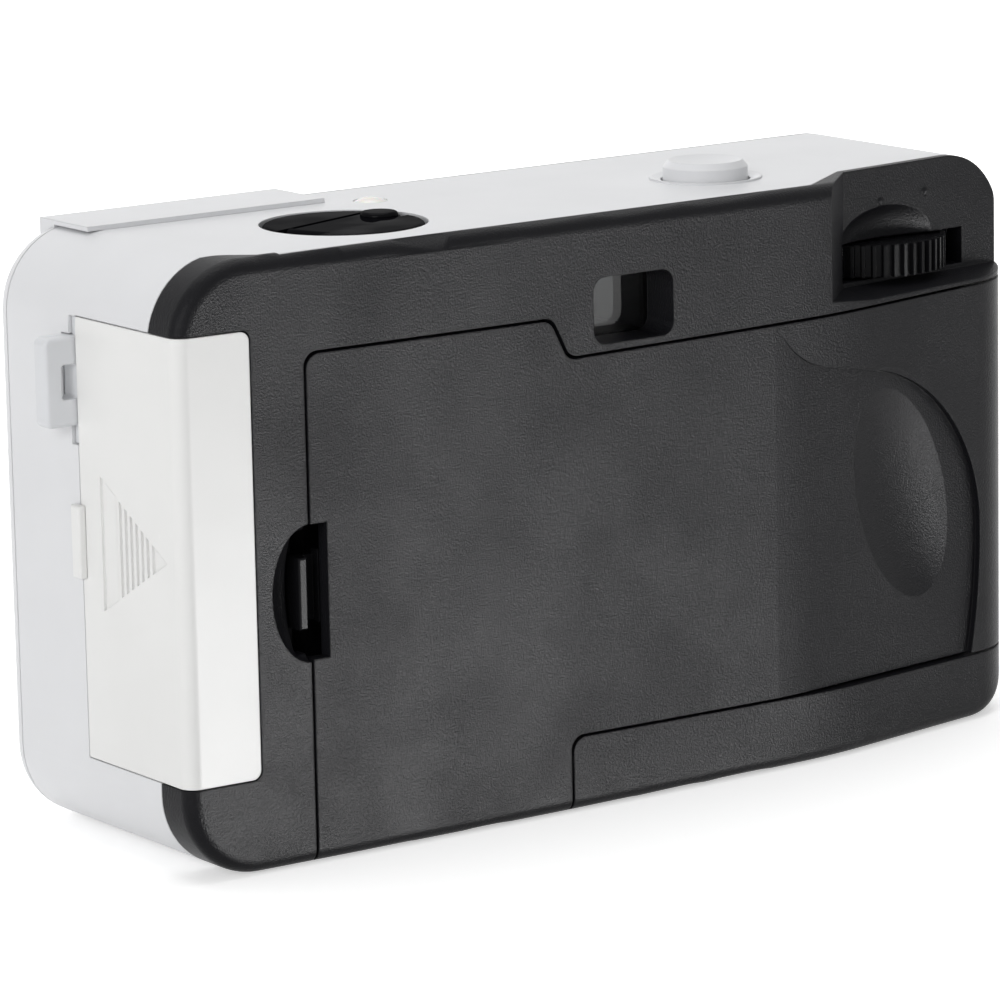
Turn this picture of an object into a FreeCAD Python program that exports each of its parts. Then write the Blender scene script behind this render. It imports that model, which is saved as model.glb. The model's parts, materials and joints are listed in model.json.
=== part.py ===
import FreeCAD, Part
import math
import os
import Sketcher
from FreeCAD import Placement, Rotation, Vector

# Reusable compact 35 mm film camera with a built-in flash, in millimetres.
# +Z is up, the lens looks along -Y, the film door is on the +Y side,
# and the battery door is on the +X side. The origin is the middle of the base.

SIZES = {
    # overall form
    "body_width": 114.0,
    "body_height": 63.0,
    "front_depth": 17.9,
    "back_depth": 18.2,
    "corner_radius": 8.5,
    "back_crown": 1500.0,
    "rear_edge_round": 1.6,
    "front_edge_round": 2.4,
    "grip_start": 26.0,
    "grip_slope": 0.17,
    "grip_corner": 8.9,
    "grip_blend": 60.0,
    "wall": 1.6,
    "seam_gap": 0.12,
    "door_gap": 0.3,
    "web": 1.4,
    # where the shells part
    "front_cover_depth": 2.5,
    "rear_seam_inset": 1.7,
    "corner_cap_depth": 6.2,
    "corner_cap_width": 13.0,
    "hinge_side_seam": 1.9,
    # film door
    "door_left": 41.9,
    "door_top_drop": 10.35,
    "door_step": 10.8,
    "door_step_drop": 14.7,
    "door_hinge_drop": 13.8,
    "door_corner": 1.6,
    "panel_left": 10.2,
    "panel_top": 8.3,
    "panel_top_hinge": 7.6,
    "hinge_inset": 2.5,
    "hinge_y": 4.6,
    "knuckle_radius": 1.9,
    "hinge_pin_radius": 0.6,
    "running_gap": 0.05,
    # thumb dish and the step round it
    "grip_step": 0.8,
    "dish_x": 37.3,
    "dish_z": 27.4,
    "dish_tilt": 19.0,
    "dish_long": 17.4,
    "dish_wide": 9.7,
    "dish_deep": 1.5,
    "dish_lift": 3.0,
    # film path
    "chamber_low": 4.5,
    "chamber_drop": 11.1,
    "film_plane_inset": 5.3,
    "gate_width": 36.0,
    "gate_height": 24.0,
    "cartridge_x": 27.8,
    "cartridge_setback": 8.9,
    "cartridge_radius": 12.7,
    "take_up_x": 40.7,
    "take_up_setback": 8.7,
    "take_up_radius": 10.2,
    "spool_room": 1.05,
    "light_wall": 1.0,
    "screw_reach": 2.9,
    "spool_core_radius": 3.4,
    "sprocket_x": 24.0,
    "sprocket_radius": 5.5,
    "sprocket_waist": 4.2,
    "sprocket_tooth": 1.2,
    "sprocket_flange": 3.2,
    "perforation_offset": 14.1,
    "sprocket_teeth": 8,
    "pressure_plate_thickness": 1.0,
    "film_rail": 0.15,
    "plate_gap": 0.2,
    "plate_travel": 0.4,
    # thumb wheel and its recess
    "wheel_radius": 9.5,
    "wheel_drop": 8.4,
    "wheel_thickness": 3.5,
    "wheel_teeth": 48,
    "recess_depth": 6.6,
    "recess_slope": 0.125,
    "recess_left": 25.5,
    "recess_inner": 32.3,
    "recess_rim": 0.9,
    "recess_seam_left": 24.0,
    "recess_drop": 12.7,
    "recess_wall": 2.4,
    "slot_left": 31.6,
    "slot_right": 51.0,
    "slot_gap": 0.3,
    "scoop_wide": 9.4,
    "scoop_tall": 4.6,
    "scoop_deep": 1.3,
    "scoop_lift": 2.0,
    # eyepiece and viewfinder
    "eyepiece_x": 1.2,
    "eyepiece_drop": 10.05,
    "eyepiece_width": 10.4,
    "eyepiece_height": 7.0,
    "eyepiece_depth": 4.6,
    "finder_width": 14.4,
    "finder_height": 9.4,
    "finder_front_drop": 9.4,
    # latch
    "latch_z": 28.2,
    "latch_tab_width": 1.1,
    "latch_slot_width": 1.7,
    "latch_slot_half": 6.4,
    "latch_scoop_wide": 4.7,
    "latch_scoop_tall": 7.15,
    "latch_scoop_deep": 2.6,
    # battery bay and its door
    "battery_inset": 8.4,
    "battery_y": 6.2,
    "battery_radius": 5.25,
    "battery_length": 44.5,
    "contact_room": 5.0,
    "battery_gap": 0.35,
    "bay_low": 6.9,
    "battery_door_low": 9.9,
    "battery_door_drop": 7.2,
    "battery_door_inset": 8.5,
    "battery_door_front": 1.8,
    "battery_tab_low": 28.8,
    "battery_tab_high": 36.4,
    "triangle_base": 2.05,
    "triangle_tip": 14.3,
    "triangle_low": 25.9,
    "triangle_high": 39.85,
    "triangle_tip_z": 32.8,
    "triangle_rib_start": 5.0,
    "triangle_rib_step": 1.01,
    "triangle_rib_width": 0.55,
    "groove": 0.3,
    # strap lug
    "lug_reach": 3.55,
    "lug_front": 4.4,
    "lug_drop": 9.2,
    "lug_height": 9.3,
    "lug_thickness": 2.4,
    "lug_corner": 0.8,
    "lug_slot_wide": 1.8,
    "lug_slot_tall": 3.6,
    "lug_slot_inset": 1.9,
    "lug_channel_front": 3.1,
    "lug_channel_depth": 0.4,
    "lug_channel_over": 1.9,
    # rewind knob
    "knob_radius": 8.45,
    "knob_height": 2.1,
    "knob_well": 0.35,
    "crank_angle": 19.0,
    "crank_width": 5.0,
    "crank_finger_radius": 2.0,
    "crank_finger_rise": 0.4,
    "shaft_radius": 2.0,
    # shutter button
    "button_x": 19.2,
    "button_y": 4.2,
    "button_radius": 4.6,
    "button_rise": 2.0,
    "guide_drop": 6.6,
    "collar_radius": 6.1,
    "collar_rise": 0.2,
    # lens and shutter
    "lens_bezel_radius": 11.2,
    "lens_tube_radius": 6.6,
    "lens_radius": 4.6,
    # frame counter in the base
    "counter_x": 10.0,
    "counter_y": 4.0,
    "counter_radius": 8.5,
    "counter_number_radius": 6.6,
    "counter_window_radius": 2.6,
    # flash
    "flash_left": 24.0,
    "flash_right": 48.5,
    "flash_drop": 2.1,
    "flash_height": 11.3,
    "hump_inner": 21.5,
    "hump_outer": 50.8,
    "hump_depth": 9.0,
    "hump_rise": 0.5,
    "switch_x": 38.0,
    "switch_slot_width": 2.0,
    "switch_drop": 18.6,
    "switch_slot_height": 9.8,
}

document = FreeCAD.newDocument("film_camera")
sheet = document.addObject("Spreadsheet::Sheet", "sizes")
for row, (word, number) in enumerate(SIZES.items(), start=1):
    sheet.set(f"A{row}", word)
    sheet.set(f"B{row}", str(number))
    sheet.setAlias(f"B{row}", word)
document.recompute()


class Size:
    """A length worked out from the sheet, as a number and as the formula behind it."""

    def __init__(self, number, formula):
        self.number = float(number)
        self.formula = formula

    def __add__(self, other):
        other = as_size(other)
        return Size(self.number + other.number, f"({self.formula} + {other.formula})")

    def __sub__(self, other):
        other = as_size(other)
        return Size(self.number - other.number, f"({self.formula} - {other.formula})")

    def __mul__(self, other):
        other = as_size(other)
        return Size(self.number * other.number, f"({self.formula} * {other.formula})")

    def __truediv__(self, other):
        other = as_size(other)
        return Size(self.number / other.number, f"({self.formula} / {other.formula})")

    def __neg__(self):
        return Size(-self.number, f"(-1 * {self.formula})")

    def __radd__(self, other):
        return as_size(other) + self

    def __rsub__(self, other):
        return as_size(other) - self

    def __rmul__(self, other):
        return as_size(other) * self


def as_size(value):
    return value if isinstance(value, Size) else Size(value, repr(float(value)))


def size(word):
    return Size(sheet.get(word), f"sizes.{word}")


def bind(item, place, value):
    value = as_size(value)
    item.setExpression(place, value.formula)


def place_at(item, x=0.0, y=0.0, z=0.0, rotation=None):
    if rotation is not None:
        item.Placement = Placement(Vector(0, 0, 0), rotation)
    for axis, value in zip("xyz", (x, y, z)):
        bind(item, f"Placement.Base.{axis}", value)


TO_X = Rotation(Vector(0, 1, 0), 90)
TO_Y = Rotation(Vector(1, 0, 0), -90)
UPRIGHT_XZ = Rotation(Vector(1, 0, 0), 90)
UPRIGHT_YZ = Rotation(Vector(0, 1, 0), Vector(0, 0, 1), Vector(1, 0, 0), "ZXY")


def named(kind, label):
    item = document.addObject(kind, label)
    item.Label = label
    return item


def box(label, x, y, z):
    item = named("Part::Box", label)
    for side, (low, high) in zip(("Length", "Width", "Height"), (x, y, z)):
        bind(item, side, as_size(high) - low)
    place_at(item, x[0], y[0], z[0])
    return item


def rod(label, radius, x, y, z, top_radius=None):
    """A round bar, or a cone with top_radius, along the axis whose place is a pair."""
    item = named("Part::Cylinder" if top_radius is None else "Part::Cone", label)
    spans = [isinstance(value, tuple) for value in (x, y, z)]
    along = spans.index(True)
    low, high = (x, y, z)[along]
    if top_radius is None:
        bind(item, "Radius", radius)
    else:
        bind(item, "Radius1", radius)
        bind(item, "Radius2", top_radius)
    bind(item, "Height", as_size(high) - low)
    start = [value[0] if isinstance(value, tuple) else value for value in (x, y, z)]
    place_at(item, *start, rotation=(TO_X, TO_Y, Rotation())[along])
    return item


def join(label, *items):
    item = named("Part::MultiFuse", label)
    item.Shapes = list(items)
    item.Refine = True
    return item


def cut(label, base, *tools):
    item = named("Part::Cut", label)
    item.Base = base
    item.Tool = tools[0] if len(tools) == 1 else join(label + "_cuts", *tools)
    item.Refine = True
    return item


def common(label, first, second):
    item = named("Part::MultiCommon", label)
    item.Shapes = [first, second]
    return item


def rounded(label, base, radius, choose):
    """Round the edges that choose picks from the base."""
    document.recompute()
    item = named("Part::Fillet", label)
    item.Base = base
    length = as_size(radius).number
    edges = [n for n, edge in enumerate(base.Shape.Edges, start=1) if choose(edge, base.Shape)]
    item.Edges = [(n, length, length) for n in edges]
    return item


def edge_along(axis, near=None, reach=0.5):
    """Pick straight edges along an axis, within reach of a place on the two other axes."""
    index = "xyz".index(axis)
    others = [n for n in range(3) if n != index]

    def choose(edge, shape):
        if not isinstance(edge.Curve, (Part.Line, Part.LineSegment)):
            return False
        start, end = edge.Vertexes[0].Point, edge.Vertexes[-1].Point
        if any(abs(start[n] - end[n]) > 1e-4 for n in others):
            return False
        if near is None:
            return True
        places = [tuple(as_size(v).number for v in spot) for spot in near]
        return any(all(abs(start[n] - spot[k]) < reach for k, n in enumerate(others)) for spot in places)

    return choose


def facing(face, edge):
    """Outward normal of a face at the middle of one of its edges."""
    middle = edge.valueAt((edge.FirstParameter + edge.LastParameter) / 2)
    u, v = face.Surface.parameter(middle)
    return face.normalAt(u, v)


def sharp(edge, shape):
    faces = shape.ancestorsOfType(edge, Part.Face)
    if len(faces) != 2:
        return False
    return math.degrees(facing(faces[0], edge).getAngle(facing(faces[1], edge))) > 8


def outline(label, points, arcs=None, owner=None):
    """A closed sketch through points. arcs maps an edge number to its radius and a middle point."""
    arcs = arcs or {}
    if owner is None:
        sketch = named("Sketcher::SketchObject", label)
    else:
        sketch = owner.newObject("Sketcher::SketchObject", label)
    points = [(as_size(u), as_size(v)) for u, v in points]
    spots = [Vector(u.number, v.number, 0) for u, v in points]
    count = len(points)
    for n in range(count):
        start, end = spots[n], spots[(n + 1) % count]
        if n in arcs:
            radius, middle = arcs[n]
            bend = Part.Arc(start, Vector(*[as_size(v).number for v in middle], 0), end)
            sketch.addGeometry(bend, False)
        else:
            sketch.addGeometry(Part.LineSegment(start, end), False)
    ends = []
    for n in range(count):
        flipped = (sketch.getPoint(n, 1) - spots[n]).Length > 1e-6
        ends.append((2, 1) if flipped else (1, 2))
    for n in range(count):
        after = (n + 1) % count
        sketch.addConstraint(Sketcher.Constraint("Coincident", n, ends[n][1], after, ends[after][0]))
        for kind, value in (("DistanceX", points[n][0]), ("DistanceY", points[n][1])):
            index = sketch.addConstraint(Sketcher.Constraint(kind, n, ends[n][0], value.number))
            sketch.renameConstraint(index, f"{kind}_{n}")
            sketch.setExpression(f"Constraints.{kind}_{n}", value.formula)
        if n in arcs:
            radius = as_size(arcs[n][0])
            index = sketch.addConstraint(Sketcher.Constraint("Radius", n, radius.number))
            sketch.renameConstraint(index, f"bend_{n}")
            sketch.setExpression(f"Constraints.bend_{n}", radius.formula)
    return sketch


def prism(label, plane, points, span, arcs=None, shear=None):
    """A sketch on the XY, XZ or YZ plane, pulled from span[0] to span[1] across it."""
    sketch = outline(label + "_outline", points, arcs)
    low, high = (as_size(v) for v in span)
    if plane == "XY":
        place_at(sketch, z=low)
    elif plane == "XZ":
        place_at(sketch, y=high, rotation=UPRIGHT_XZ)
    else:
        place_at(sketch, x=low, rotation=UPRIGHT_YZ)
    item = named("Part::Extrusion", label)
    item.Base = sketch
    item.Solid = True
    if shear is None:
        item.DirMode = "Normal"
        bind(item, "LengthFwd", high - low)
    else:
        item.DirMode = "Custom"
        item.Dir = Vector(*shear)
        bind(item, "LengthFwd", high - low)
    return item


def body(label):
    item = named("PartDesign::Body", label)
    return item


def plane_of(item, role):
    return next(feature for feature in item.Origin.OriginFeatures if feature.Role == role)


def turned(label, points, x, y, z, towards="z", arcs=None):
    """A piece turned about its own axis. points are (radius, height) pairs."""
    item = body(label)
    profile = outline(label + "_profile", points, arcs, owner=item)
    profile.AttachmentSupport = [(plane_of(item, "XZ_Plane"), "")]
    profile.MapMode = "FlatFace"
    turn = item.newObject("PartDesign::Revolution", label + "_turn")
    turn.Profile = profile
    turn.ReferenceAxis = (profile, ["V_Axis"])
    turn.Angle = 360
    rotation = {"z": Rotation(), "y": TO_Y, "x": TO_X, "-z": Rotation(Vector(1, 0, 0), 180)}[towards]
    place_at(item, x, y, z, rotation)
    return item


half_width = size("body_width") / 2
height = size("body_height")
front = -size("front_depth")
wall = size("wall")
web = size("web")
gap = size("seam_gap")
door_gap = size("door_gap")
beyond = 4.0
far = 80.0
back = size("back_depth")
seam = back - size("rear_seam_inset")
film = back - size("film_plane_inset")
door_top = height - size("door_top_drop")
door_top_low = height - size("door_step_drop")
door_top_hinge = height - size("door_hinge_drop")
sill = door_top_hinge + door_gap
chamber_low = size("chamber_low")
chamber_high = height - size("chamber_drop")
film_z = (chamber_low + chamber_high) / 2
spool_half = size("perforation_offset") + size("sprocket_flange") + size("spool_room")
spool_low = film_z - spool_half
spool_high = film_z + spool_half
wheel_high = height - size("wheel_drop")
wheel_low = wheel_high - size("wheel_thickness")
recess_low = height - size("recess_drop")
recess_floor = back - size("recess_depth")
eyepiece_z = height - size("eyepiece_drop")
finder_front_z = height - size("finder_front_drop")
bay_low = size("bay_low")
bay_high = bay_low + size("battery_length") + size("contact_room")
battery_door_high = height - size("battery_door_drop")
lug_high = height - size("lug_drop")
lug_low = lug_high - size("lug_height")
flash_high = height - size("flash_drop")
flash_low = flash_high - size("flash_height")
guide_low = height - size("guide_drop")
switch_high = height - size("switch_drop")
switch_low = switch_high - size("switch_slot_height")


def crown_at(x):
    """Depth of the gently crowned back at a distance x from the middle."""
    return size("back_depth") - x * x / (2 * size("back_crown"))


def grip_at(x):
    """Depth of the slanted grip side of the back, with x counted towards -X."""
    return crown_at(size("grip_start")) - size("grip_slope") * (x - size("grip_start"))


def tunnel_form(label, inset, y_low):
    """The rounded front outline, drawn in by inset and run from y_low out through the back."""
    side = half_width - inset
    block = box(label + "_block", (-side, side), (y_low, size("back_depth") + beyond),
                (as_size(inset), height - inset))
    return rounded(label, block, size("corner_radius") - inset, edge_along("y"))


def camera_form(label, inset):
    """The rounded outside of the camera, drawn in by inset on every side."""
    side = half_width - inset
    tunnel = tunnel_form(label + "_tunnel", inset, front + inset)
    wide = half_width + beyond
    start = size("grip_start")
    middle = (wide - start) / 2
    corners = [
        (wide, front - beyond),
        (wide, crown_at(wide) - inset),
        (-start, crown_at(start) - inset),
        (-side, grip_at(side) - inset),
        (-side, front - beyond),
    ]
    bend = {1: (size("back_crown"), (middle, crown_at(middle) - inset))}
    plan = prism(label + "_plan", "XY", corners, (-beyond, height + beyond), bend)
    plan = rounded(label + "_grip", plan, size("grip_corner") - inset,
                   edge_along("z", [(-side, grip_at(side) - inset)]))
    plan = rounded(label + "_blend", plan, size("grip_blend"),
                   edge_along("z", [(-start, crown_at(start) - inset)]))
    return common(label + "_form", tunnel, plan)


def rear_outline(low, shift):
    """Plan of the black rear part, whose front edge moves forwards by shift."""
    cap = half_width - size("corner_cap_width")
    cap_y = size("back_depth") - size("corner_cap_depth")
    edge = [
        (far, cap_y - shift),
        (cap + 6.5, cap_y - shift),
        (cap + 2.0, seam - 0.9 - shift),
        (cap, seam - 0.9 - shift),
        (cap, seam - shift),
    ]
    if low:
        inner = half_width - size("corner_radius") - 0.5
        edge += [(-size("grip_start") - 2.0, seam - shift), (-inner, size("hinge_side_seam") - shift),
                 (-far, size("hinge_side_seam") - shift)]
    else:
        bend = size("recess_inner")
        floor = recess_floor - size("recess_rim")
        drop = size("recess_slope") * (far - bend)
        edge += [(-size("recess_seam_left"), seam - shift), (-bend, floor - shift),
                 (-far, floor - drop - shift)]
    return edge + [(-far, as_size(40.0)), (far, as_size(40.0))]


def rear_zone(label, shift):
    low = prism(label + "_low", "XY", rear_outline(True, shift), (-beyond, sill))
    high = prism(label + "_high", "XY", rear_outline(False, shift), (sill, height + beyond))
    core = tunnel_form(label + "_core", wall + gap - shift, as_size(0.0))
    return join(label, low, high, core)


def slope_to(low, high):
    """Height reached far past the hinge side by an edge that runs from low to high across the back."""
    run = far + size("panel_left")
    return low + (high - low) * run / (half_width + size("panel_left"))


def door_zone(label, grow, start):
    """The stepped outline of the film door, pulled through the back from depth start."""
    left = size("door_left") + grow
    top = door_top + grow
    step = size("door_step") - grow
    low = door_top_low + grow
    low_far = slope_to(door_top_low, door_top_hinge) + grow
    panel = size("panel_top") - grow
    panel_far = slope_to(size("panel_top"), size("panel_top_hinge")) - grow
    panel_left = size("panel_left") - grow
    corners = [
        (left, -beyond),
        (left, top),
        (step + 1.2, top),
        (step - 1.0, low),
        (-far, low_far),
        (-far, panel_far),
        (panel_left, panel),
        (panel_left, -beyond),
    ]
    zone = prism(label + "_block", "XZ", corners, (start, far / 2))
    turns = [(left, top), (step + 1.2, top), (step - 1.0, low), (panel_left, panel)]
    spots = [(as_size(u), as_size(v)) for u, v in turns]
    zone = rounded(label, zone, size("door_corner"), edge_along("y", spots))
    return zone


def battery_zone(label, grow):
    low = size("battery_door_low") - grow
    high = battery_door_high + grow
    back = (half_width - size("battery_door_inset")) - grow
    zone = box(label + "_block", (back, far), (-size("battery_door_front") - grow, far / 2), (low, high))
    return rounded(label, zone, 1.0, edge_along("y", [(back, low), (back, high)]))


# Shared form of the shells

outer = camera_form("outer", 0.0)
outer_rear = rounded("outer_rear", outer, size("rear_edge_round"),
                     lambda edge, shape: edge.BoundBox.YMin > 3 and sharp(edge, shape))
outer_soft = rounded("outer_soft", outer_rear, size("front_edge_round"),
                     lambda edge, shape: edge.BoundBox.YMax < front.number + 0.01)
inner = camera_form("inner", wall)
skin = cut("skin", outer_soft, inner)

finished = []


def keep(item, label):
    item.Label = label
    finished.append(item)
    return item


# Places on the base of the three case screws, and the shutter blade's pivot beside the lens
SCREWS = [(-45.0, -5.0), (8.0, -6.5), (40.5, -9.0)]
BLADE_PIVOT_X = -9.0

knob_x, knob_y = size("cartridge_x"), film - size("cartridge_setback")
wheel_x, wheel_y = -size("take_up_x"), film - size("take_up_setback")
button_x, button_y = -size("button_x"), size("button_y")
sprocket_x = -size("sprocket_x")
sprocket_y = film - size("sprocket_radius") - 0.5
pin_x, pin_y = -(half_width - size("hinge_inset")), size("hinge_y")
front_seam = front + size("front_cover_depth")
skin_front = front + wall
counter_window_y = size("counter_y") - size("counter_number_radius")


def recess_floor_at(x, behind=0.0):
    return recess_floor - size("recess_slope") * (x - size("recess_inner")) - behind


def recess_outline(behind):
    """Plan of the thumb wheel's recess, or of the pan that lies behind its floor and its left side."""
    inner_x = size("recess_inner") - behind
    left = size("recess_left") - behind * 1.2
    return [
        (-left, size("back_depth") + beyond),
        (-left, crown_at(size("recess_left")) - behind * 0.4),
        (-inner_x, recess_floor_at(inner_x, behind)),
        (-far, recess_floor_at(as_size(far), behind)),
        (-far, size("back_depth") + beyond),
    ]


def front_cover():
    zone = box("front_zone", (-far, far), (-far, front_seam), (-beyond, height + beyond))
    shell = common("front_cover_shell", skin, zone)
    lens_hole = rod("lens_hole", size("lens_bezel_radius") + 0.05, 0.0, (-30.0, -10.0), film_z)
    finder_x, finder_z = size("eyepiece_x"), finder_front_z
    finder = box("finder_hole", (finder_x - size("finder_width") / 2, finder_x + size("finder_width") / 2),
                 (-30.0, -10.0), (finder_z - size("finder_height") / 2, finder_z + size("finder_height") / 2))
    finder = rounded("finder_hole_round", finder, 1.2, edge_along("y"))
    flash = box("flash_hole", (size("flash_left"), size("flash_right")), (-30.0, -10.0),
                (flash_low, flash_high))
    flash = rounded("flash_hole_round", flash, 1.5, edge_along("y"))
    switch_x, half_switch = size("switch_x"), size("switch_slot_width") / 2
    switch = box("switch_slot", (switch_x - half_switch, switch_x + half_switch), (-30.0, -10.0),
                 (switch_low, switch_high))
    return keep(cut("front_cover", shell, lens_hole, finder, flash, switch), "front_cover")


def body_shell():
    front_zone = box("front_zone_grown", (-far, far), (-far, front_seam + gap), (-beyond, height + beyond))
    rear = rear_zone("rear_zone_grown", gap)
    hatch = battery_zone("battery_zone_grown", gap)
    lug_y, over = -size("lug_front"), size("lug_channel_over") + 0.1
    lug = box("lug_hole", (50.0, 70.0), (lug_y - 0.1, lug_y + size("lug_thickness") + 0.1),
              (lug_low - 0.1, lug_high + 0.1))
    channel = box("lug_channel", (50.0, 70.0), (-size("lug_channel_front"), -1.0),
                  (lug_low - over, lug_high + over))
    shell = cut("body_shell_skin", skin, front_zone, rear, hatch, lug, channel)
    well_low = height - size("knob_height") - 0.3
    cup = rod("knob_cup", size("knob_radius") + size("knob_well") + web, knob_x, knob_y,
              (well_low - web, height - wall / 2))
    guide = rod("button_guide", size("button_radius") + 1.6, button_x, button_y, (guide_low, height - wall / 2))
    bearing = rod("wheel_bearing", 3.4, wheel_x, wheel_y, (wheel_high + 1.0, height - wall / 2))
    shell = join("body_shell_solid", shell, cup, guide, bearing)
    well = rod("knob_well_cut", size("knob_radius") + size("knob_well"), knob_x, knob_y,
               (well_low, height + beyond))
    bore = rod("rewind_bush", size("shaft_radius") + size("running_gap"), knob_x, knob_y, (well_low - web - 1.0, height))
    button_hole = rod("button_hole", size("button_radius") + 0.2, button_x, button_y,
                      (guide_low + 1.2, height + beyond))
    stem_hole = rod("stem_hole", 1.7, button_x, button_y, (guide_low - 1.0, height))
    collar_seat = rod("collar_seat", size("collar_radius"), button_x, button_y, (height - 0.8, height + beyond))
    axle_hole = rod("axle_hole", 2.0 + size("running_gap"), wheel_x, wheel_y, (wheel_low, wheel_high + 3.8))
    stub = rod("stub_recess", 4.6, knob_x, knob_y, (0.8, beyond))
    release = rod("release_hole", 2.6, sprocket_x, sprocket_y, (-beyond, beyond))
    window = rod("window_hole", size("counter_window_radius"), -size("counter_x"), counter_window_y,
                 (-beyond, beyond))
    screws = [rod(f"screw_hole_{n}", 1.1, x, y, (-beyond, beyond)) for n, (x, y) in enumerate(SCREWS)]
    screws += [rod(f"screw_head_seat_{n}", 2.2, x, y, (-beyond, 0.9)) for n, (x, y) in enumerate(SCREWS)]
    lamp = rod("lamp_hole", 1.85, 17.0, -6.9, (height - 3.0, height + beyond))
    return keep(cut("body_shell", shell, well, bore, button_hole, stem_hole, collar_seat, axle_hole,
                    stub, release, window, lamp, *screws), "body_shell")


def rear_skin():
    rear = common("rear_shell", skin, rear_zone("rear_zone", 0.0))
    return cut("rear_skin", rear, door_zone("door_opening", door_gap, size("hinge_side_seam") - 1.0),
               battery_zone("battery_opening", gap))


def rear_frame(shell):
    panel = box("panel_zone", (-far, size("panel_left") + beyond), (-far, far),
                (-beyond, size("panel_top") + beyond))
    frame = cut("rear_frame_shell", shell, panel)
    big = prism("recess_pan", "XY", recess_outline(size("recess_wall")), (sill, height + beyond))
    small = prism("recess_cut", "XY", recess_outline(0.0), (recess_low, height + beyond))
    fall = (recess_low - sill - 0.1).number / 6.5
    lip = prism("recess_lip", "XY", recess_outline(0.0), (recess_low, recess_low + 9.0),
                shear=(0.0, 1.0, -fall))
    inside = join("recess_inside", camera_form("inner_clear", wall + gap),
                  common("recess_band", outer_soft, document.getObject("rear_zone")))
    pan = common("recess_pan_form", inside, big)
    frame = cut("rear_frame_open", frame, box("recess_clear", (-far, -size("recess_left") + 1.0),
                                              (-far, far), (sill, height + beyond)))
    boss_x = (size("door_left") + door_gap, (half_width - size("battery_door_inset")) - 0.5)
    boss = box("latch_boss", boss_x, (seam - 1.4, seam + 0.3), (size("latch_z") - 8.7, size("latch_z") + 8.7))
    half_eye, tall_eye = size("eyepiece_width") / 2, size("eyepiece_height") / 2
    eye_x, eye_z = size("eyepiece_x"), eyepiece_z
    eye_back = size("back_depth") - size("eyepiece_depth")
    tube = box("eyepiece_tube", (eye_x - half_eye - 1.2, eye_x + half_eye + 1.2), (eye_back, seam + 0.5),
               (eye_z - tall_eye - 0.7, eye_z + tall_eye + 1.2))
    ear_top = box("hinge_ear_top", (wall - half_width + gap, pin_x + 2.4), (pin_y - 2.2, recess_floor - 3.4),
                  (sill, sill + 2.0))
    frame = join("rear_frame_solid", frame, pan, boss, tube, ear_top)
    eye = box("eyepiece_opening", (eye_x - half_eye, eye_x + half_eye), (10.0, 30.0),
              (eye_z - tall_eye, eye_z + tall_eye))
    eye = rounded("eyepiece_round", eye, 1.5, edge_along("y"))
    slot = box("wheel_slot", (-size("slot_right"), -size("slot_left")), (-far, far),
               (wheel_low - size("slot_gap"), wheel_high + size("slot_gap")))
    scoop = named("Part::Ellipsoid", "wheel_scoop")
    bind(scoop, "Radius1", size("scoop_tall"))
    bind(scoop, "Radius2", size("scoop_wide"))
    bind(scoop, "Radius3", size("scoop_deep") + size("scoop_lift"))
    place_at(scoop, wheel_x, recess_floor_at(-wheel_x) + size("scoop_lift"), wheel_high + size("slot_gap"))
    latch_z, half_slot = size("latch_z"), size("latch_slot_half")
    latch_slot = box("latch_slot", (size("door_left") - 0.1, size("door_left") + size("latch_slot_width")),
                     (10.0, 30.0), (latch_z - half_slot, latch_z + half_slot))
    scoop_y = crown_at(size("door_left"))
    finger = named("Part::Ellipsoid", "latch_scoop")
    bind(finger, "Radius1", size("latch_scoop_tall"))
    bind(finger, "Radius2", size("latch_scoop_wide"))
    bind(finger, "Radius3", size("latch_scoop_deep"))
    place_at(finger, size("door_left"), scoop_y, size("latch_z"))
    pin_hole = rod("pin_hole_top", size("hinge_pin_radius"), pin_x, pin_y, (sill - 1.0, sill + 1.4))
    frame = cut("rear_frame_cut", frame, small, lip, eye, slot, scoop, latch_slot, finger, pin_hole)
    pips = []
    pip_spots = [(size("take_up_x") - 2.6, wheel_high + 4.5), (size("take_up_x") + 4.4, wheel_high + 4.8)]
    for n, (x, z) in enumerate(pip_spots):
        pip = named("Part::Sphere", f"wheel_pip_{n}")
        bind(pip, "Radius", as_size(0.7))
        place_at(pip, -x, recess_floor_at(x) - 0.45, z)
        pips.append(pip)
    return keep(join("rear_frame", frame, *pips), "rear_frame")


def moulding(label, solid, *cuts):
    """Keep what lies inside the shells of one of the black inner mouldings."""
    solid = common(label + "_inside", solid, document.getObject("inner_clear_form"))
    return keep(cut(label, solid, *cuts) if cuts else solid, label)


def light_wedge(label, extra, start, end):
    """The tapered passage from the lens to the frame of film, or its outside."""
    item = named("Part::Wedge", label)
    half_w, half_h = size("gate_width") / 2 + extra, size("gate_height") / 2 + extra
    for key, value in {
        "Xmin": -7.0 - extra, "Xmax": 7.0 + extra, "X2min": -half_w, "X2max": half_w,
        "Zmin": film_z - 5.0 - extra, "Zmax": film_z + 5.0 + extra,
        "Z2min": film_z - half_h, "Z2max": film_z + half_h, "Ymin": start, "Ymax": end,
    }.items():
        bind(item, key, value)
    return item


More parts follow.
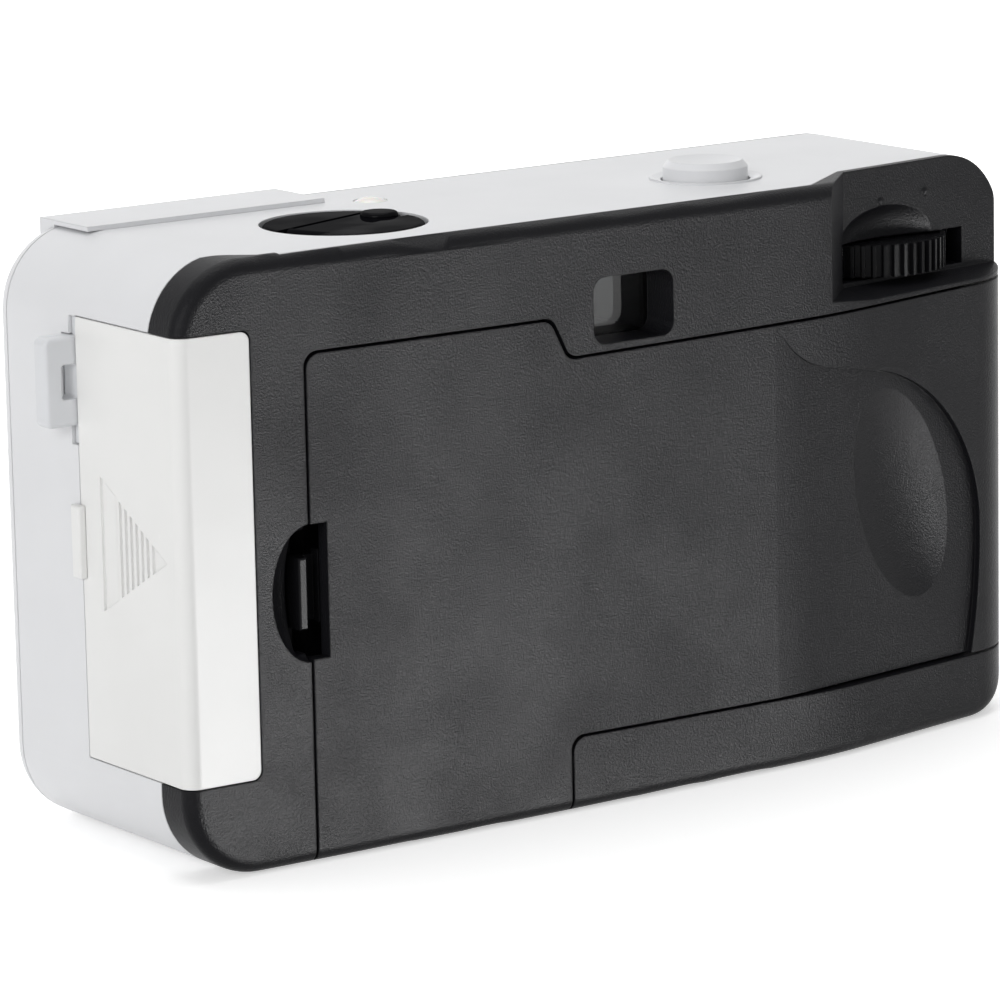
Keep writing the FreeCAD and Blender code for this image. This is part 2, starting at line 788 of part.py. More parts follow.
def film_mouldings(shell):
    """The black mouldings behind the film door: floor, chambers, gate, light tunnel, bridge and lower panel."""
    low, high = chamber_low, chamber_high
    radius = size("cartridge_radius")
    gate_front = film - web
    board_front, board_back = -10.2, -8.8
    bay_left = (half_width - size("battery_inset")) - size("battery_radius") - size("battery_gap") - web
    floor_left = wheel_x - 6.0
    bridge_high = spool_high + web
    light = light_wedge("light_outside", size("light_wall"), as_size(board_back), film)
    cavity = light_wedge("light_cavity", as_size(0.0), as_size(board_back - 0.5), film + 0.5)
    cartridge_bore = rod("cartridge_bore", radius, knob_x, knob_y, (low, high))
    take_up_bore = rod("take_up_bore", size("take_up_radius"), wheel_x, wheel_y, (spool_low, spool_high))
    sprocket_bore = rod("sprocket_bore", size("sprocket_radius") + size("sprocket_tooth") + 0.5,
                        sprocket_x, sprocket_y, (spool_low, spool_high))
    sprocket_hole = rod("sprocket_hole", 1.5 + size("running_gap"), sprocket_x, sprocket_y, (-beyond, bridge_high + 1.0))
    gate_z = (film_z - 19.6, film_z + 19.6)
    half_gate = size("gate_width") / 2
    gate_block = box("gate_block", (-half_gate - size("light_wall"), knob_x - 6.0), (gate_front, film), gate_z)

    ahead = box("cartridge_ahead", (-far, bay_left), (-far, film - 0.7), (-far, far))
    wall_ring = common("cartridge_ring", rod("cartridge_tube", radius + web, knob_x, knob_y, (low, high)),
                       ahead)
    moulding("cartridge_wall", wall_ring, cartridge_bore, light, gate_block)
    lid = rod("cartridge_lid", radius + web, knob_x, knob_y, (high, high + web))
    roof = common("cartridge_roof_disc", lid, ahead)
    moulding("cartridge_roof", roof, rod("fork_hole", 4.0, knob_x, knob_y, (high - 1.0, high + web + 1.0)))

    spool_ahead = box("take_up_ahead", (-far, far), (-far, wheel_y + 4.8), (-far, far))
    tube_r = size("take_up_radius") + web
    tube = rod("take_up_tube", tube_r, wheel_x, wheel_y, (spool_low, spool_high))
    tube = common("take_up_ring", tube, spool_ahead)
    film_way = box("film_way", (wheel_x, far), (wheel_y, far), (spool_low, spool_high))
    moulding("take_up_wall", tube, take_up_bore, sprocket_bore, film_way)
    disc = common("spool_floor_front", rod("spool_floor_disc", tube_r, wheel_x, wheel_y,
                                           (spool_low - web, spool_low)), spool_ahead)
    shelf = box("sprocket_shelf", (sprocket_x - 7.0, sprocket_x + 6.0), (0.0, gate_front),
                (spool_low - web, spool_low))
    posts = [rod(f"spool_floor_post_{n}", 1.5, x, y, (low, spool_low - web / 2))
             for n, (x, y) in enumerate([(-48.6, 0.5), (-35.2, -3.4), (-20.0, 2.0)])]
    moulding("spool_floor", join("spool_floor_form", disc, shelf, *posts),
             rod("spool_pivot_hole", 1.2 + size("running_gap"), wheel_x, wheel_y, (low, spool_low + 1.0)),
             sprocket_hole)

    bridge = box("bridge_plate", (wheel_x, knob_x - radius - web), (board_back, gate_front),
                 (spool_high, bridge_high))
    bridge_disc = rod("bridge_disc", tube_r, wheel_x, wheel_y, (spool_high, bridge_high))
    bridge_disc = common("bridge_round", bridge_disc, spool_ahead)
    moulding("spool_bridge", join("bridge_form", bridge, bridge_disc),
             rod("spool_hole", 2.0 + size("running_gap"), wheel_x, wheel_y, (spool_high - 1.0, bridge_high + 1.0)), sprocket_hole)

    moulding("light_tunnel", cut("light_shell", light, cavity), cartridge_bore, sprocket_bore, gate_block)

    rails = []
    for n, (reach, thick, rise) in enumerate(((18.4, 0.5, size("film_rail")), (13.0, 0.4, as_size(0.05)))):
        for side in (-1, 1):
            z = film_z + side * reach
            rails.append(box(f"film_rail_{n}_{side + 1}", (-half_gate, half_gate + 0.7), (film - 0.5, film + rise),
                             (z - thick, z + thick)))
    moulding("gate_plate", join("gate_form", gate_block, *rails), cavity, cartridge_bore, sprocket_bore)

    foot = box("floor_plate", (floor_left, bay_left), (board_front, film - 0.7), (low - web, low))
    foot_back = box("floor_plate_back", (wheel_x + 4.0, size("panel_left")), (8.0, seam + 0.5),
                    (low - web, low))
    board = box("lens_board", (-21.0, knob_x - radius - web), (board_front, board_back),
                (low - web, bridge_high))
    boss_high = low + size("screw_reach") + 0.8
    bosses = [rod(f"screw_boss_{n}", 2.6, x, y, (wall, boss_high)) for n, (x, y) in enumerate(SCREWS)]
    pivot = rod("counter_pivot", 1.5, -size("counter_x"), size("counter_y"), (1.75, low))
    threads = [rod(f"screw_thread_{n}", 1.0, x, y, (0.0, low + size("screw_reach") + 0.2))
               for n, (x, y) in enumerate(SCREWS)]
    blade_z = film_z - 7.2
    moulding("film_chassis", join("chassis_form", foot, foot_back, board, pivot, *bosses),
             rod("lens_opening", 3.4, 0.0, (-20.0, 0.0), film_z),
             rod("stub_hole", 4.4, knob_x, knob_y, (-beyond, low + 1.0)),
             rod("blade_pin_hole", 0.8, BLADE_PIVOT_X, (-20.0, 0.0), blade_z), sprocket_hole, *threads)

    moulding("battery_walls", join("battery_walls_form", *battery_bay()))

    panel = box("panel_part", (-far, size("panel_left") + beyond), (-far, far),
                (-beyond, size("panel_top") + beyond))
    panel = common("lower_panel_skin", shell, panel)
    ear_high = size("panel_top_hinge") - door_gap
    ear = box("hinge_ear_low", (pin_x - 1.6, pin_x + 2.4), (pin_y - 2.2, pin_y + 4.5),
              (ear_high - 2.2, ear_high))
    arm = box("hinge_arm_low", (pin_x + 2.0, floor_left), (pin_y - 2.2, pin_y + 3.0), (low - web, ear_high))
    pin_hole = rod("pin_hole_low", size("hinge_pin_radius"), pin_x, pin_y, (ear_high - 1.6, ear_high + 1.0))
    keep(cut("lower_panel", join("lower_panel_form", panel, ear, arm), pin_hole), "lower_panel")


def battery_bay():
    reach = size("battery_radius") + size("battery_gap")
    left = (half_width - size("battery_inset")) - reach
    low, high = bay_low, bay_high
    y_front, y_back = size("battery_y") - reach, size("battery_y") + reach + 1.2
    right = (half_width - size("battery_inset")) + reach - 0.5
    floor = chamber_low - web
    return [
        box("bay_inner_wall", (left - web, left), (y_front - web, seam - 3.3), (floor, high + web)),
        box("bay_front_wall", (left - web, right), (y_front - web, y_front), (floor, high + web)),
        box("bay_floor", (left - web, right + 0.6), (y_front - web, y_back), (low - web, low)),
        box("bay_roof", (left - web, right + 0.6), (y_front - web, y_back), (high, high + web)),
    ]


def film_door():
    zone = door_zone("door_part_zone", as_size(0.0), size("hinge_y"))
    plate = common("door_skin", common("door_rear_skin", skin, document.getObject("rear_zone")), zone)
    step_x, step_y = size("grip_start") - 7.0, 0.0
    curve = [
        (-17.8, 48.9),
        (-26.0, 43.2),
        (-33.0, 41.8),
        (-49.5, 23.5),
        (-44.2, -beyond),
        (-10.0, -beyond),
        (-10.0, 48.9),
    ]
    arcs = {0: (9.6, (-20.3, 45.2)), 2: (20.5, (-43.9, 36.1)), 3: (62.0, (-49.2, 12.0))}
    inside = prism("grip_region", "XZ", curve, (0.0, 40.0), arcs)
    edge_x = half_width - size("corner_radius")
    near_x = step_x - 11.0
    behind = prism("grip_depth_sharp", "XY", [
        (-near_x, crown_at(near_x) + 0.05),
        (-step_x, crown_at(step_x) + 0.05),
        (-edge_x - 3.0, grip_at(edge_x + 3.0) - size("grip_step")),
        (-edge_x - 3.0, 40.0),
        (-near_x, 40.0),
    ], (-beyond, height + beyond))
    behind = rounded("grip_depth", behind, size("grip_blend") * 0.75,
                     edge_along("z", [(-step_x, crown_at(step_x) + 0.05)], 0.01))
    lowered = common("grip_step_cut", inside, behind)
    lift = size("dish_lift")
    dish_y = grip_at(size("dish_x")) - size("grip_step") + lift
    dish_x = size("dish_x") + size("grip_slope") * lift
    tilt = Rotation(Vector(0, 0, 1), 9.0).multiply(Rotation(Vector(0, 1, 0), size("dish_tilt").number))

    def dish(label, extra):
        item = named("Part::Ellipsoid", label)
        bind(item, "Radius1", size("dish_long") + extra)
        bind(item, "Radius2", size("dish_wide") + extra)
        bind(item, "Radius3", size("dish_deep") + lift + extra)
        place_at(item, -dish_x, dish_y, size("dish_z"), tilt)
        return item

    bulge = common("dish_backing", dish("dish_outer", wall), outer_soft)
    step_back = common("step_backing", prism("step_back_plan", "XY", [
        (-step_x, crown_at(step_x) - wall),
        (-edge_x - 3.0, grip_at(edge_x + 3.0) - size("grip_step") - wall),
        (-edge_x - 3.0, 40.0),
        (-step_x, 40.0),
    ], (size("panel_top"), door_top_low)), outer_rear)
    knuckle = rod("door_knuckle", size("knuckle_radius"), pin_x, pin_y,
                  (size("panel_top_hinge"), door_top_hinge - 0.1))
    solid = join("door_solid", plate, bulge, step_back, knuckle)
    bore = rod("knuckle_bore", size("hinge_pin_radius") + size("running_gap"), pin_x, pin_y, (-beyond, far))
    relief = rod("cartridge_relief", size("cartridge_radius") + 0.2, knob_x, knob_y,
                 (chamber_low - 0.5, chamber_high + 0.5))
    notch = box("latch_notch", (size("door_left") - 1.95, size("door_left") + beyond), (0.0, 40.0),
                (size("latch_z") - 6.9, size("latch_z") + 7.1))
    return keep(cut("film_door", solid, lowered, dish("dish_cut", as_size(0.0)), bore, relief, notch),
                "film_door")


def arch(radius, rise):
    """Radius of the arc that rises by rise over a half chord of radius."""
    return (radius * radius + rise * rise) / (2 * rise)


def biarc(start, start_way, end, end_way):
    """Two tangent arcs from start to end that leave and arrive along the given directions."""
    chord = end - start
    both = start_way + end_way
    spread = 2 * (1 - start_way.dot(end_way))
    reach = (math.sqrt(chord.dot(both) ** 2 + spread * chord.dot(chord)) - chord.dot(both)) / spread
    first, second = start + start_way * reach, end - end_way * reach
    middle = (first + second) * 0.5
    arcs = []
    for low, corner, high in ((start, first, middle), (middle, second, end)):
        base = (low + high) * 0.5
        half = (high - low).Length / 2
        rise = corner - base
        sag = half * math.tan(math.atan2(rise.Length, half) / 2)
        arcs.append(Part.Arc(low, base + rise.normalize() * sag, high).toShape())
    return arcs


def coil(label, radius, wire, x, y, z, turns, end_radius=None):
    """One unbroken spring wire wound between z[0] and z[1]. Prints its least gap between turns."""
    x, y = as_size(x), as_size(y)
    low, high = as_size(z[0]) + wire, as_size(z[1]) - wire
    start_radius = as_size(radius).number
    end_radius = start_radius if end_radius is None else end_radius
    steps = 4 * turns
    rise = high.number - low.number

    def spot(n):
        share = n / steps
        turn = 2 * math.pi * turns * share
        around = start_radius + (end_radius - start_radius) * share
        place = Vector(around * math.cos(turn), around * math.sin(turn), rise * share)
        way = Vector(-around * math.sin(turn), around * math.cos(turn), rise / (2 * math.pi * turns))
        return place, way.normalize()

    edges = []
    for n in range(steps):
        edges += biarc(*spot(n), *spot(n + 1))
    path = named("Part::Feature", label + "_path")
    path.Shape = Part.Wire(edges)
    section = named("Part::Circle", label + "_section")
    bind(section, "Radius", wire)
    place, way = spot(0)
    section.Placement = Placement(place, Rotation(Vector(0, 0, 1), way))
    document.recompute()
    item = named("Part::Sweep", label)
    item.Sections = [section]
    item.Spine = (path, [f"Edge{n}" for n in range(1, len(edges) + 1)])
    item.Solid = True
    item.Frenet = False
    place_at(item, x, y, low)
    print(label, "least gap between turns", round(rise / turns - 2 * as_size(wire).number, 2))
    return item


def ring(label, outside, inside, x, y, z):
    hole_z = tuple(z) if isinstance(z, tuple) else z
    return cut(label, rod(label + "_disc", outside, x, y, z), rod(label + "_hole", inside, x, y, hole_z))


def lens_parts():
    bezel_r = size("lens_bezel_radius")
    lens_r, tube_r = size("lens_radius"), size("lens_tube_radius")
    bezel = turned("lens_bezel", [
        (lens_r + 0.9, 3.2), (lens_r + 0.9, 2.6), (bezel_r - 1.7, -0.8), (bezel_r - 1.3, -1.1),
        (bezel_r - 0.6, -1.1), (bezel_r, -0.5), (bezel_r, 3.2)], 0.0, front, film_z, "y")
    keep(bezel, "lens_bezel")
    seat = front + 3.2
    barrel = turned("lens_barrel_form", [
        (lens_r + 0.05, 0.0), (tube_r, 0.0), (tube_r, 2.2), (9.5, 2.2), (9.5, 3.5), (3.0, 3.5),
        (3.0, 1.7), (lens_r + 0.05, 1.7)], 0.0, seat, film_z, "y")
    posts = [rod(f"barrel_post_{n}", 1.1, x, (seat + 3.3, -10.2), film_z + z)
             for n, (x, z) in enumerate([(-6.4, 5.8), (6.4, 5.8), (8.3, -2.6)])]
    keep(join("lens_barrel", barrel, *posts), "lens_barrel")
    rise = 0.7
    glass = turned("front_lens", [(0.0, 0.0), (lens_r, rise), (lens_r, 1.6), (0.0, 1.6)], 0.0,
                   seat + 0.1, film_z, "y", {0: (arch(lens_r, rise), (lens_r / 2, rise / 4))})
    keep(glass, "front_lens")
    ring_part = turned("lens_ring", [
        (lens_r - 1.4, -0.6), (lens_r - 0.7, -0.9), (lens_r + 0.7, -0.9), (lens_r + 0.7, 0.0),
        (lens_r - 0.2, 0.0), (lens_r - 1.4, -0.1)], 0.0, seat, film_z, "y")
    keep(ring_part, "lens_ring")


def shutter_parts():
    y = (-10.9, -10.5)
    pivot_x, pivot_z = BLADE_PIVOT_X, film_z - 7.2
    disc = rod("blade_disc", 4.0, 0.0, y, film_z)
    arm = prism("blade_arm", "XZ", [
        (pivot_x - 1.4, pivot_z + 1.6), (pivot_x + 1.2, pivot_z - 1.7), (2.4, film_z - 3.2), (-3.0, film_z + 2.6)], y)
    hub = rod("blade_hub", 2.0, pivot_x, y, pivot_z)
    tail = prism("blade_tail", "XZ", [
        (pivot_x - 1.2, pivot_z - 1.0), (pivot_x - 4.6, pivot_z - 3.0), (pivot_x - 3.4, pivot_z - 4.2),
        (pivot_x + 1.0, pivot_z - 1.2)], y)
    blade = join("blade_plate", disc, arm, hub, tail)
    bore = rod("blade_bore", 0.8 + size("running_gap"), pivot_x, (-12.0, -9.0), pivot_z)
    keep(cut("shutter_blade", blade, bore), "shutter_blade")
    pin = rod("blade_pin", 0.8, pivot_x, (-11.4, -9.0), pivot_z)
    head = rod("blade_pin_head", 1.4, pivot_x, (-11.6, -11.2), pivot_z)
    keep(join("blade_pivot", pin, head), "blade_pivot")


def finder_parts():
    eye_back = size("back_depth") - size("eyepiece_depth")
    eye_x, eye_z = size("eyepiece_x"), eyepiece_z
    half_eye, tall_eye = size("eyepiece_width") / 2, size("eyepiece_height") / 2
    wide, tall = size("finder_width") / 2, size("finder_height") / 2
    front_z = finder_front_z
    start = front + wall + 0.1
    shell, hollow = named("Part::Wedge", "finder_shell"), named("Part::Wedge", "finder_hollow")
    for item, extra, low, high in ((shell, 0.8, start, eye_back - 1.2),
                                   (hollow, 0.0, start - 0.01, eye_back - 1.19)):
        for key, value in {
            "Xmin": eye_x - wide + 0.5 - extra, "Xmax": eye_x + wide - 0.5 + extra,
            "X2min": eye_x - half_eye - extra, "X2max": eye_x + half_eye + extra,
            "Zmin": front_z - tall + 0.5 - extra, "Zmax": front_z + tall - 0.5 + extra,
            "Z2min": eye_z - tall_eye - extra, "Z2max": eye_z + tall_eye + extra,
            "Ymin": low, "Ymax": high,
        }.items():
            bind(item, key, value)
    keep(cut("viewfinder_tunnel", shell, hollow), "viewfinder_tunnel")
    pane = box("finder_pane", (eye_x - wide + 0.1, eye_x + wide - 0.1), (front + 0.3, start),
               (front_z - tall + 0.1, front_z + tall - 0.1))
    keep(rounded("viewfinder_front_lens", pane, 1.1, edge_along("y")), "viewfinder_front_lens")
    lens = box("eyepiece_pane", (eye_x - half_eye - 0.9, eye_x + half_eye + 0.9), (eye_back - 1.2, eye_back),
               (eye_z - tall_eye - 0.5, eye_z + tall_eye + 0.9))
    keep(lens, "viewfinder_rear_lens")


def flash_parts():
    left, right = size("flash_left"), size("flash_right")
    low, high = flash_low, flash_high
    hump_l, hump_r = size("hump_inner"), size("hump_outer")
    rise = size("hump_rise")
    face = box("hump_face", (hump_l, hump_r), (front - rise, front), (low - 2.1, height + rise))
    pad = box("hump_pad", (hump_l, hump_r), (front, front + size("hump_depth")), (height, height + rise))
    clear = box("hump_corner", (hump_l - 1.0, hump_r + 1.0), (front - 0.01, front + size("front_edge_round")),
                (height - size("front_edge_round"), height))
    face = join("hump_solid", face, pad, cut("hump_bridge", clear, outer_soft))
    face = common("hump_trim", face, box("hump_bounds", (hump_l, hump_r), (-30.0, 30.0), (0.0, height + rise)))
    hole = box("hump_hole", (left, right), (-30.0, -10.0), (low, high))
    keep(cut("flash_bezel", face, hole), "flash_bezel")
    pane = box("flash_pane", (left + 0.1, right - 0.1), (front - 0.2, front + wall + 0.1),
               (low + 0.1, high - 0.1))
    pane = rounded("flash_pane_round", pane, 1.4, edge_along("y"))
    flutes = [box(f"flash_flute_{n}", (left + 1.5 + n * 2.2, left + 2.3 + n * 2.2),
                  (front + wall - 0.3, front + 5.0), (low + 1.0, high - 1.0)) for n in range(10)]
    keep(cut("flash_window", pane, *flutes), "flash_window")
    back = front + wall + 0.2
    trough = box("reflector_block", (left + 0.6, right - 0.6), (back, back + 5.6), (low + 0.3, high - 0.3))
    middle = (low + high) / 2
    bowl = rod("reflector_bowl", 5.0, (left + 1.1, right - 1.1), back - 0.1, middle)
    ends = rod("reflector_ends", 1.3, (left, right), back + 2.6, middle)
    keep(cut("flash_reflector", trough, bowl, ends), "flash_reflector")
    tube = rod("flash_glass", 1.2, (left + 0.2, right - 0.2), back + 2.6, middle)
    keep(tube, "flash_tube")
    board_y = front + 2.9
    parts_y = board_y + 1.2
    board_low, low, high = flash_low - 41.6, switch_low, switch_high
    switch_x = size("switch_x")
    board = box("board_plate", (left - 8.0, half_width - 3.0), (board_y, parts_y), (board_low, flash_low - 2.6))
    board_slot = box("board_slot", (switch_x - 1.4, switch_x + 1.4), (board_y - 1.0, parts_y + 1.0),
                     (low - 4.6, high + 1.6))
    keep(cut("flash_board", board, board_slot), "flash_board")
    can = turned("flash_capacitor", [
        (0.0, 0.0), (4.6, 0.0), (4.95, 0.4), (4.95, 1.6), (4.6, 2.0), (4.6, 2.5), (4.95, 2.9), (4.95, 25.0),
        (0.0, 25.0)], half_width - 8.1, parts_y + 5.05, board_low + 4.0)
    keep(can, "flash_capacitor")
    core = box("transformer_core", (left - 7.4, left - 1.8), (parts_y, parts_y + 3.8),
               (board_low + 4.0, board_low + 12.0))
    keep(core, "flash_transformer")
    half_stem = size("switch_slot_width") / 2 - 0.15
    slide = [
        box("switch_grip", (switch_x - 2.5, switch_x + 2.5), (front - 1.1, front - 0.1),
            (low + 0.4, low + 4.8)),
        box("switch_stem", (switch_x - half_stem, switch_x + half_stem), (front - 0.2, front + 2.1),
            (low + 0.3, low + 4.9)),
        box("switch_foot", (switch_x - 2.0, switch_x + 2.0), (skin_front + 0.1, skin_front + 0.7),
            (low - 0.6, low + 5.0)),
    ]
    ribs = [box(f"switch_rib_{n}", (switch_x - 1.9, switch_x + 1.9), (front - 1.4, front - 1.0),
                (low + 1.1 + n * 0.9, low + 1.5 + n * 0.9)) for n in range(4)]
    keep(join("flash_switch", *slide, *ribs), "flash_switch")


def power_parts():
    x, y = (half_width - size("battery_inset")), size("battery_y")
    low, high = bay_low, bay_high
    plate = box("contact_plate", (x - 3.6, x + 3.6), (y - 3.4, y + 3.4), (high - 0.4, high))
    nub = rod("contact_nub", 2.0, x, y, (high - 0.9, high - 0.3))
    tab = box("contact_tab", (x - 1.5, x + 1.5), (y + 2.0, y + 5.0), (high - 0.4, high))
    keep(join("battery_contact_plate", plate, nub, tab), "battery_contact_plate")
    spring = coil("battery_contact_coil", 3.9, 0.3, x, y, (low + 0.3, low + 4.2), 3, end_radius=2.4)
    base = box("contact_base", (x - 4.4, x + 4.4), (y - 4.4, y + 4.4), (low, low + 0.4))
    keep(join("battery_contact_spring", base, spring), "battery_contact_spring")

    door = common("battery_door_skin", skin, battery_zone("battery_door_zone", as_size(0.0)))
    door_front = -size("battery_door_front")
    inside = half_width - wall
    tongue = box("battery_tongue", (inside - 1.5, inside - 0.1), (door_front - 1.3, 1.5), (14.0, 40.0))
    root = box("battery_tongue_root", (inside - 1.5, inside + 0.2), (door_front + 0.1, 1.5), (14.0, 40.0))
    tab_low, tab_high = size("battery_tab_low"), size("battery_tab_high")
    tab_y = (door_front - 0.75, door_front + 0.85)
    tab = box("battery_tab", (half_width + 0.08, half_width + 0.9), tab_y, (tab_low, tab_high))
    tab = rounded("battery_tab_round", tab, 0.3,
                  lambda edge, shape: edge.BoundBox.XMin > half_width.number + 0.8)
    tab_root = box("battery_tab_root", (half_width - 0.5, half_width + 0.5),
                   (door_front + 0.1, door_front + 0.75), (tab_low + 0.1, tab_high - 0.1))
    base_y, low_z, high_z = size("triangle_base"), size("triangle_low"), size("triangle_high")
    pocket = prism("triangle_form", "YZ", [
        (base_y, low_z), (size("triangle_tip"), size("triangle_tip_z")), (base_y, high_z)],
        (half_width - size("groove"), half_width + beyond))
    ribs = []
    for n in range(7):
        y = size("triangle_rib_start") + size("triangle_rib_step") * n
        ribs.append(box(f"triangle_rib_{n}", (0.0, far), (y, y + size("triangle_rib_width")), (low_z, high_z)))
    door = join("battery_door_solid", door, tongue, root, tab, tab_root)
    keep(cut("battery_door", door, cut("triangle_pocket", pocket, *ribs)), "battery_door")


def lug_part():
    low, high = lug_low, lug_high
    reach = half_width + size("lug_reach")
    y_low = -size("lug_front")
    y_high = y_low + size("lug_thickness")
    mid = (low + high) / 2
    root, foot = half_width - 5.8, half_width - 3.8
    plate = box("lug_plate", (root, reach), (y_low, y_high), (low, high))
    plate = rounded("lug_plate_round", plate, size("lug_corner"),
                    edge_along("y", [(reach, low), (reach, high)]))
    plate = rounded("lug_plate_soft", plate, 0.45, lambda edge, shape: edge.BoundBox.YLength < 0.01
                    and edge.BoundBox.XMax > half_width.number)
    flange = box("lug_flange", (root, foot), (y_low, -0.8), (low, high))
    over = size("lug_channel_over")
    strip = box("lug_strip", (foot - 0.5, half_width - size("lug_channel_depth")),
                (0.1 - size("lug_channel_front"), -size("battery_door_front") - 0.15),
                (low - over, high + over))
    slot_x = reach - size("lug_slot_inset")
    slot = box("lug_slot", (slot_x - size("lug_slot_wide"), slot_x), (-10.0, 5.0),
               (mid - size("lug_slot_tall") / 2, mid + size("lug_slot_tall") / 2))
    slot = rounded("lug_slot_round", slot, 0.3, edge_along("y"))
    keep(cut("strap_lug", join("lug_form", plate, flange, strip), slot), "strap_lug")


def crank_frame(item):
    """Turn a piece drawn along X about the rewind shaft to the folded crank's direction."""
    place_at(item, knob_x, knob_y, 0.0, Rotation(Vector(0, 0, 1), size("crank_angle").number))
    return item


def rewind_parts():
    radius = size("knob_radius")
    low, top = height - size("knob_height"), height
    shaft_r = size("shaft_radius")
    trough_top = chamber_high + web
    shaft = rod("rewind_stem", shaft_r, knob_x, knob_y, (trough_top - 4.0, low))
    hub = rod("rewind_fork_hub", 3.4, knob_x, knob_y, (trough_top - 4.1, trough_top - 1.6))
    fork = cut("rewind_shaft", join("rewind_shaft_form", shaft, hub),
               box("fork_slot", (knob_x - 1.2, knob_x + 1.2), (-far, far), (0.0, trough_top - 2.6)))
    keep(fork, "rewind_shaft")
    clip = cut("rewind_clip", rod("clip_disc", 4.9, knob_x, knob_y, (trough_top + 0.2, trough_top + 0.8)),
               rod("clip_bore", shaft_r + size("running_gap"), knob_x, knob_y, (0.0, far)),
               box("clip_mouth", (knob_x - 1.2, knob_x + 1.2), (knob_y - 9.0, knob_y), (0.0, far)))
    keep(clip, "rewind_clip")

    half = size("crank_width") / 2
    disc = rod("knob_disc", radius, 0.0, 0.0, (low, top))
    disc = rounded("knob_disc_round", disc, 0.5, lambda edge, shape: edge.BoundBox.ZMin > top.number - 0.01)
    pivot_x, pivot_z = radius - 2.6, top - 0.75
    channel = box("crank_channel", (-radius - 1.0, radius + 1.0), (-half - 0.2, half + 0.2),
                  (top - 1.6, top + 5.0))
    pin_hole = rod("crank_pin_hole", 0.35, pivot_x, (-half - 1.2, half + 1.2), pivot_z)
    notches = []
    for n in range(36):
        turn = rod(f"knob_flute_{n}", 0.35, radius * math.cos(math.radians(n * 10)),
                   radius * math.sin(math.radians(n * 10)), (low - 1.0, top - 0.6))
        notches.append(turn)
    keep(crank_frame(cut("rewind_knob", disc, channel, pin_hole, *notches)), "rewind_knob")

    arm_low, arm_high = pivot_z - 0.65, pivot_z + 0.65
    nose_x = half + 0.25 - radius
    arm = box("crank_bar", (nose_x, pivot_x), (-half, half), (arm_low, arm_high))
    nose = rod("crank_nose", half, nose_x, 0.0, (arm_low, arm_high))
    heel = rod("crank_heel", 0.75, pivot_x, (-half, half), pivot_z)
    bar = join("crank_form", arm, nose, heel)
    finger_top = top + size("crank_finger_rise")
    post = rod("crank_finger", size("crank_finger_radius"), nose_x - 0.45, 0.0, (pivot_z, finger_top))
    post = rounded("crank_finger_round", post, 0.4,
                   lambda edge, shape: edge.BoundBox.ZMin > finger_top.number - 0.01)
    bore = rod("crank_bore", 0.35 + size("running_gap"), pivot_x, (-far, far), pivot_z)
    keep(crank_frame(cut("rewind_crank", join("crank_solid", bar, post), bore)), "rewind_crank")
    pin = join("crank_pin", rod("crank_pin_left", 0.35, pivot_x, (-half - 1.2, 0.0), pivot_z),
               rod("crank_pin_right", 0.35, pivot_x, (0.0, half + 1.2), pivot_z))
    keep(crank_frame(pin), "crank_pin")


def top_parts():
    radius, rise = size("button_radius"), size("button_rise")
    cap = turned("button_cap", [
        (0.0, -1.6), (radius, -1.6), (radius, rise - 0.7), (radius - 0.6, rise), (0.0, rise - 0.5)],
        button_x, button_y, height, "z",
        {3: (arch(radius - 0.6, as_size(0.5)), (radius / 2, rise - 0.39))})
    stem = rod("button_stem", 1.6, button_x, button_y, (guide_low - 3.0, height - 1.0))
    foot = rod("button_clip", 2.6, button_x, button_y, (guide_low - 0.9, guide_low - 0.3))
    keep(join("shutter_button", cap, stem, foot), "shutter_button")
    spring = coil("button_spring", 3.0, 0.3, button_x, button_y, (guide_low + 1.2, height - 1.7), 3)
    keep(spring, "button_spring")
    collar_r = size("collar_radius")
    collar = turned("button_collar", [
        (radius + 0.25, -0.8), (collar_r, -0.8), (collar_r, size("collar_rise")),
        (collar_r - 0.3, size("collar_rise")),
        (radius + 0.25, -0.1)], button_x, button_y, height)
    keep(collar, "button_collar")
    lamp = turned("ready_lamp", [(0.0, -2.2), (1.8, -2.2), (1.8, -0.1), (0.0, 0.4)], 17.0, -6.9, height, "z",
                  {2: (arch(as_size(1.8), as_size(0.5)), (0.9, 0.28))})
    keep(lamp, "ready_lamp")


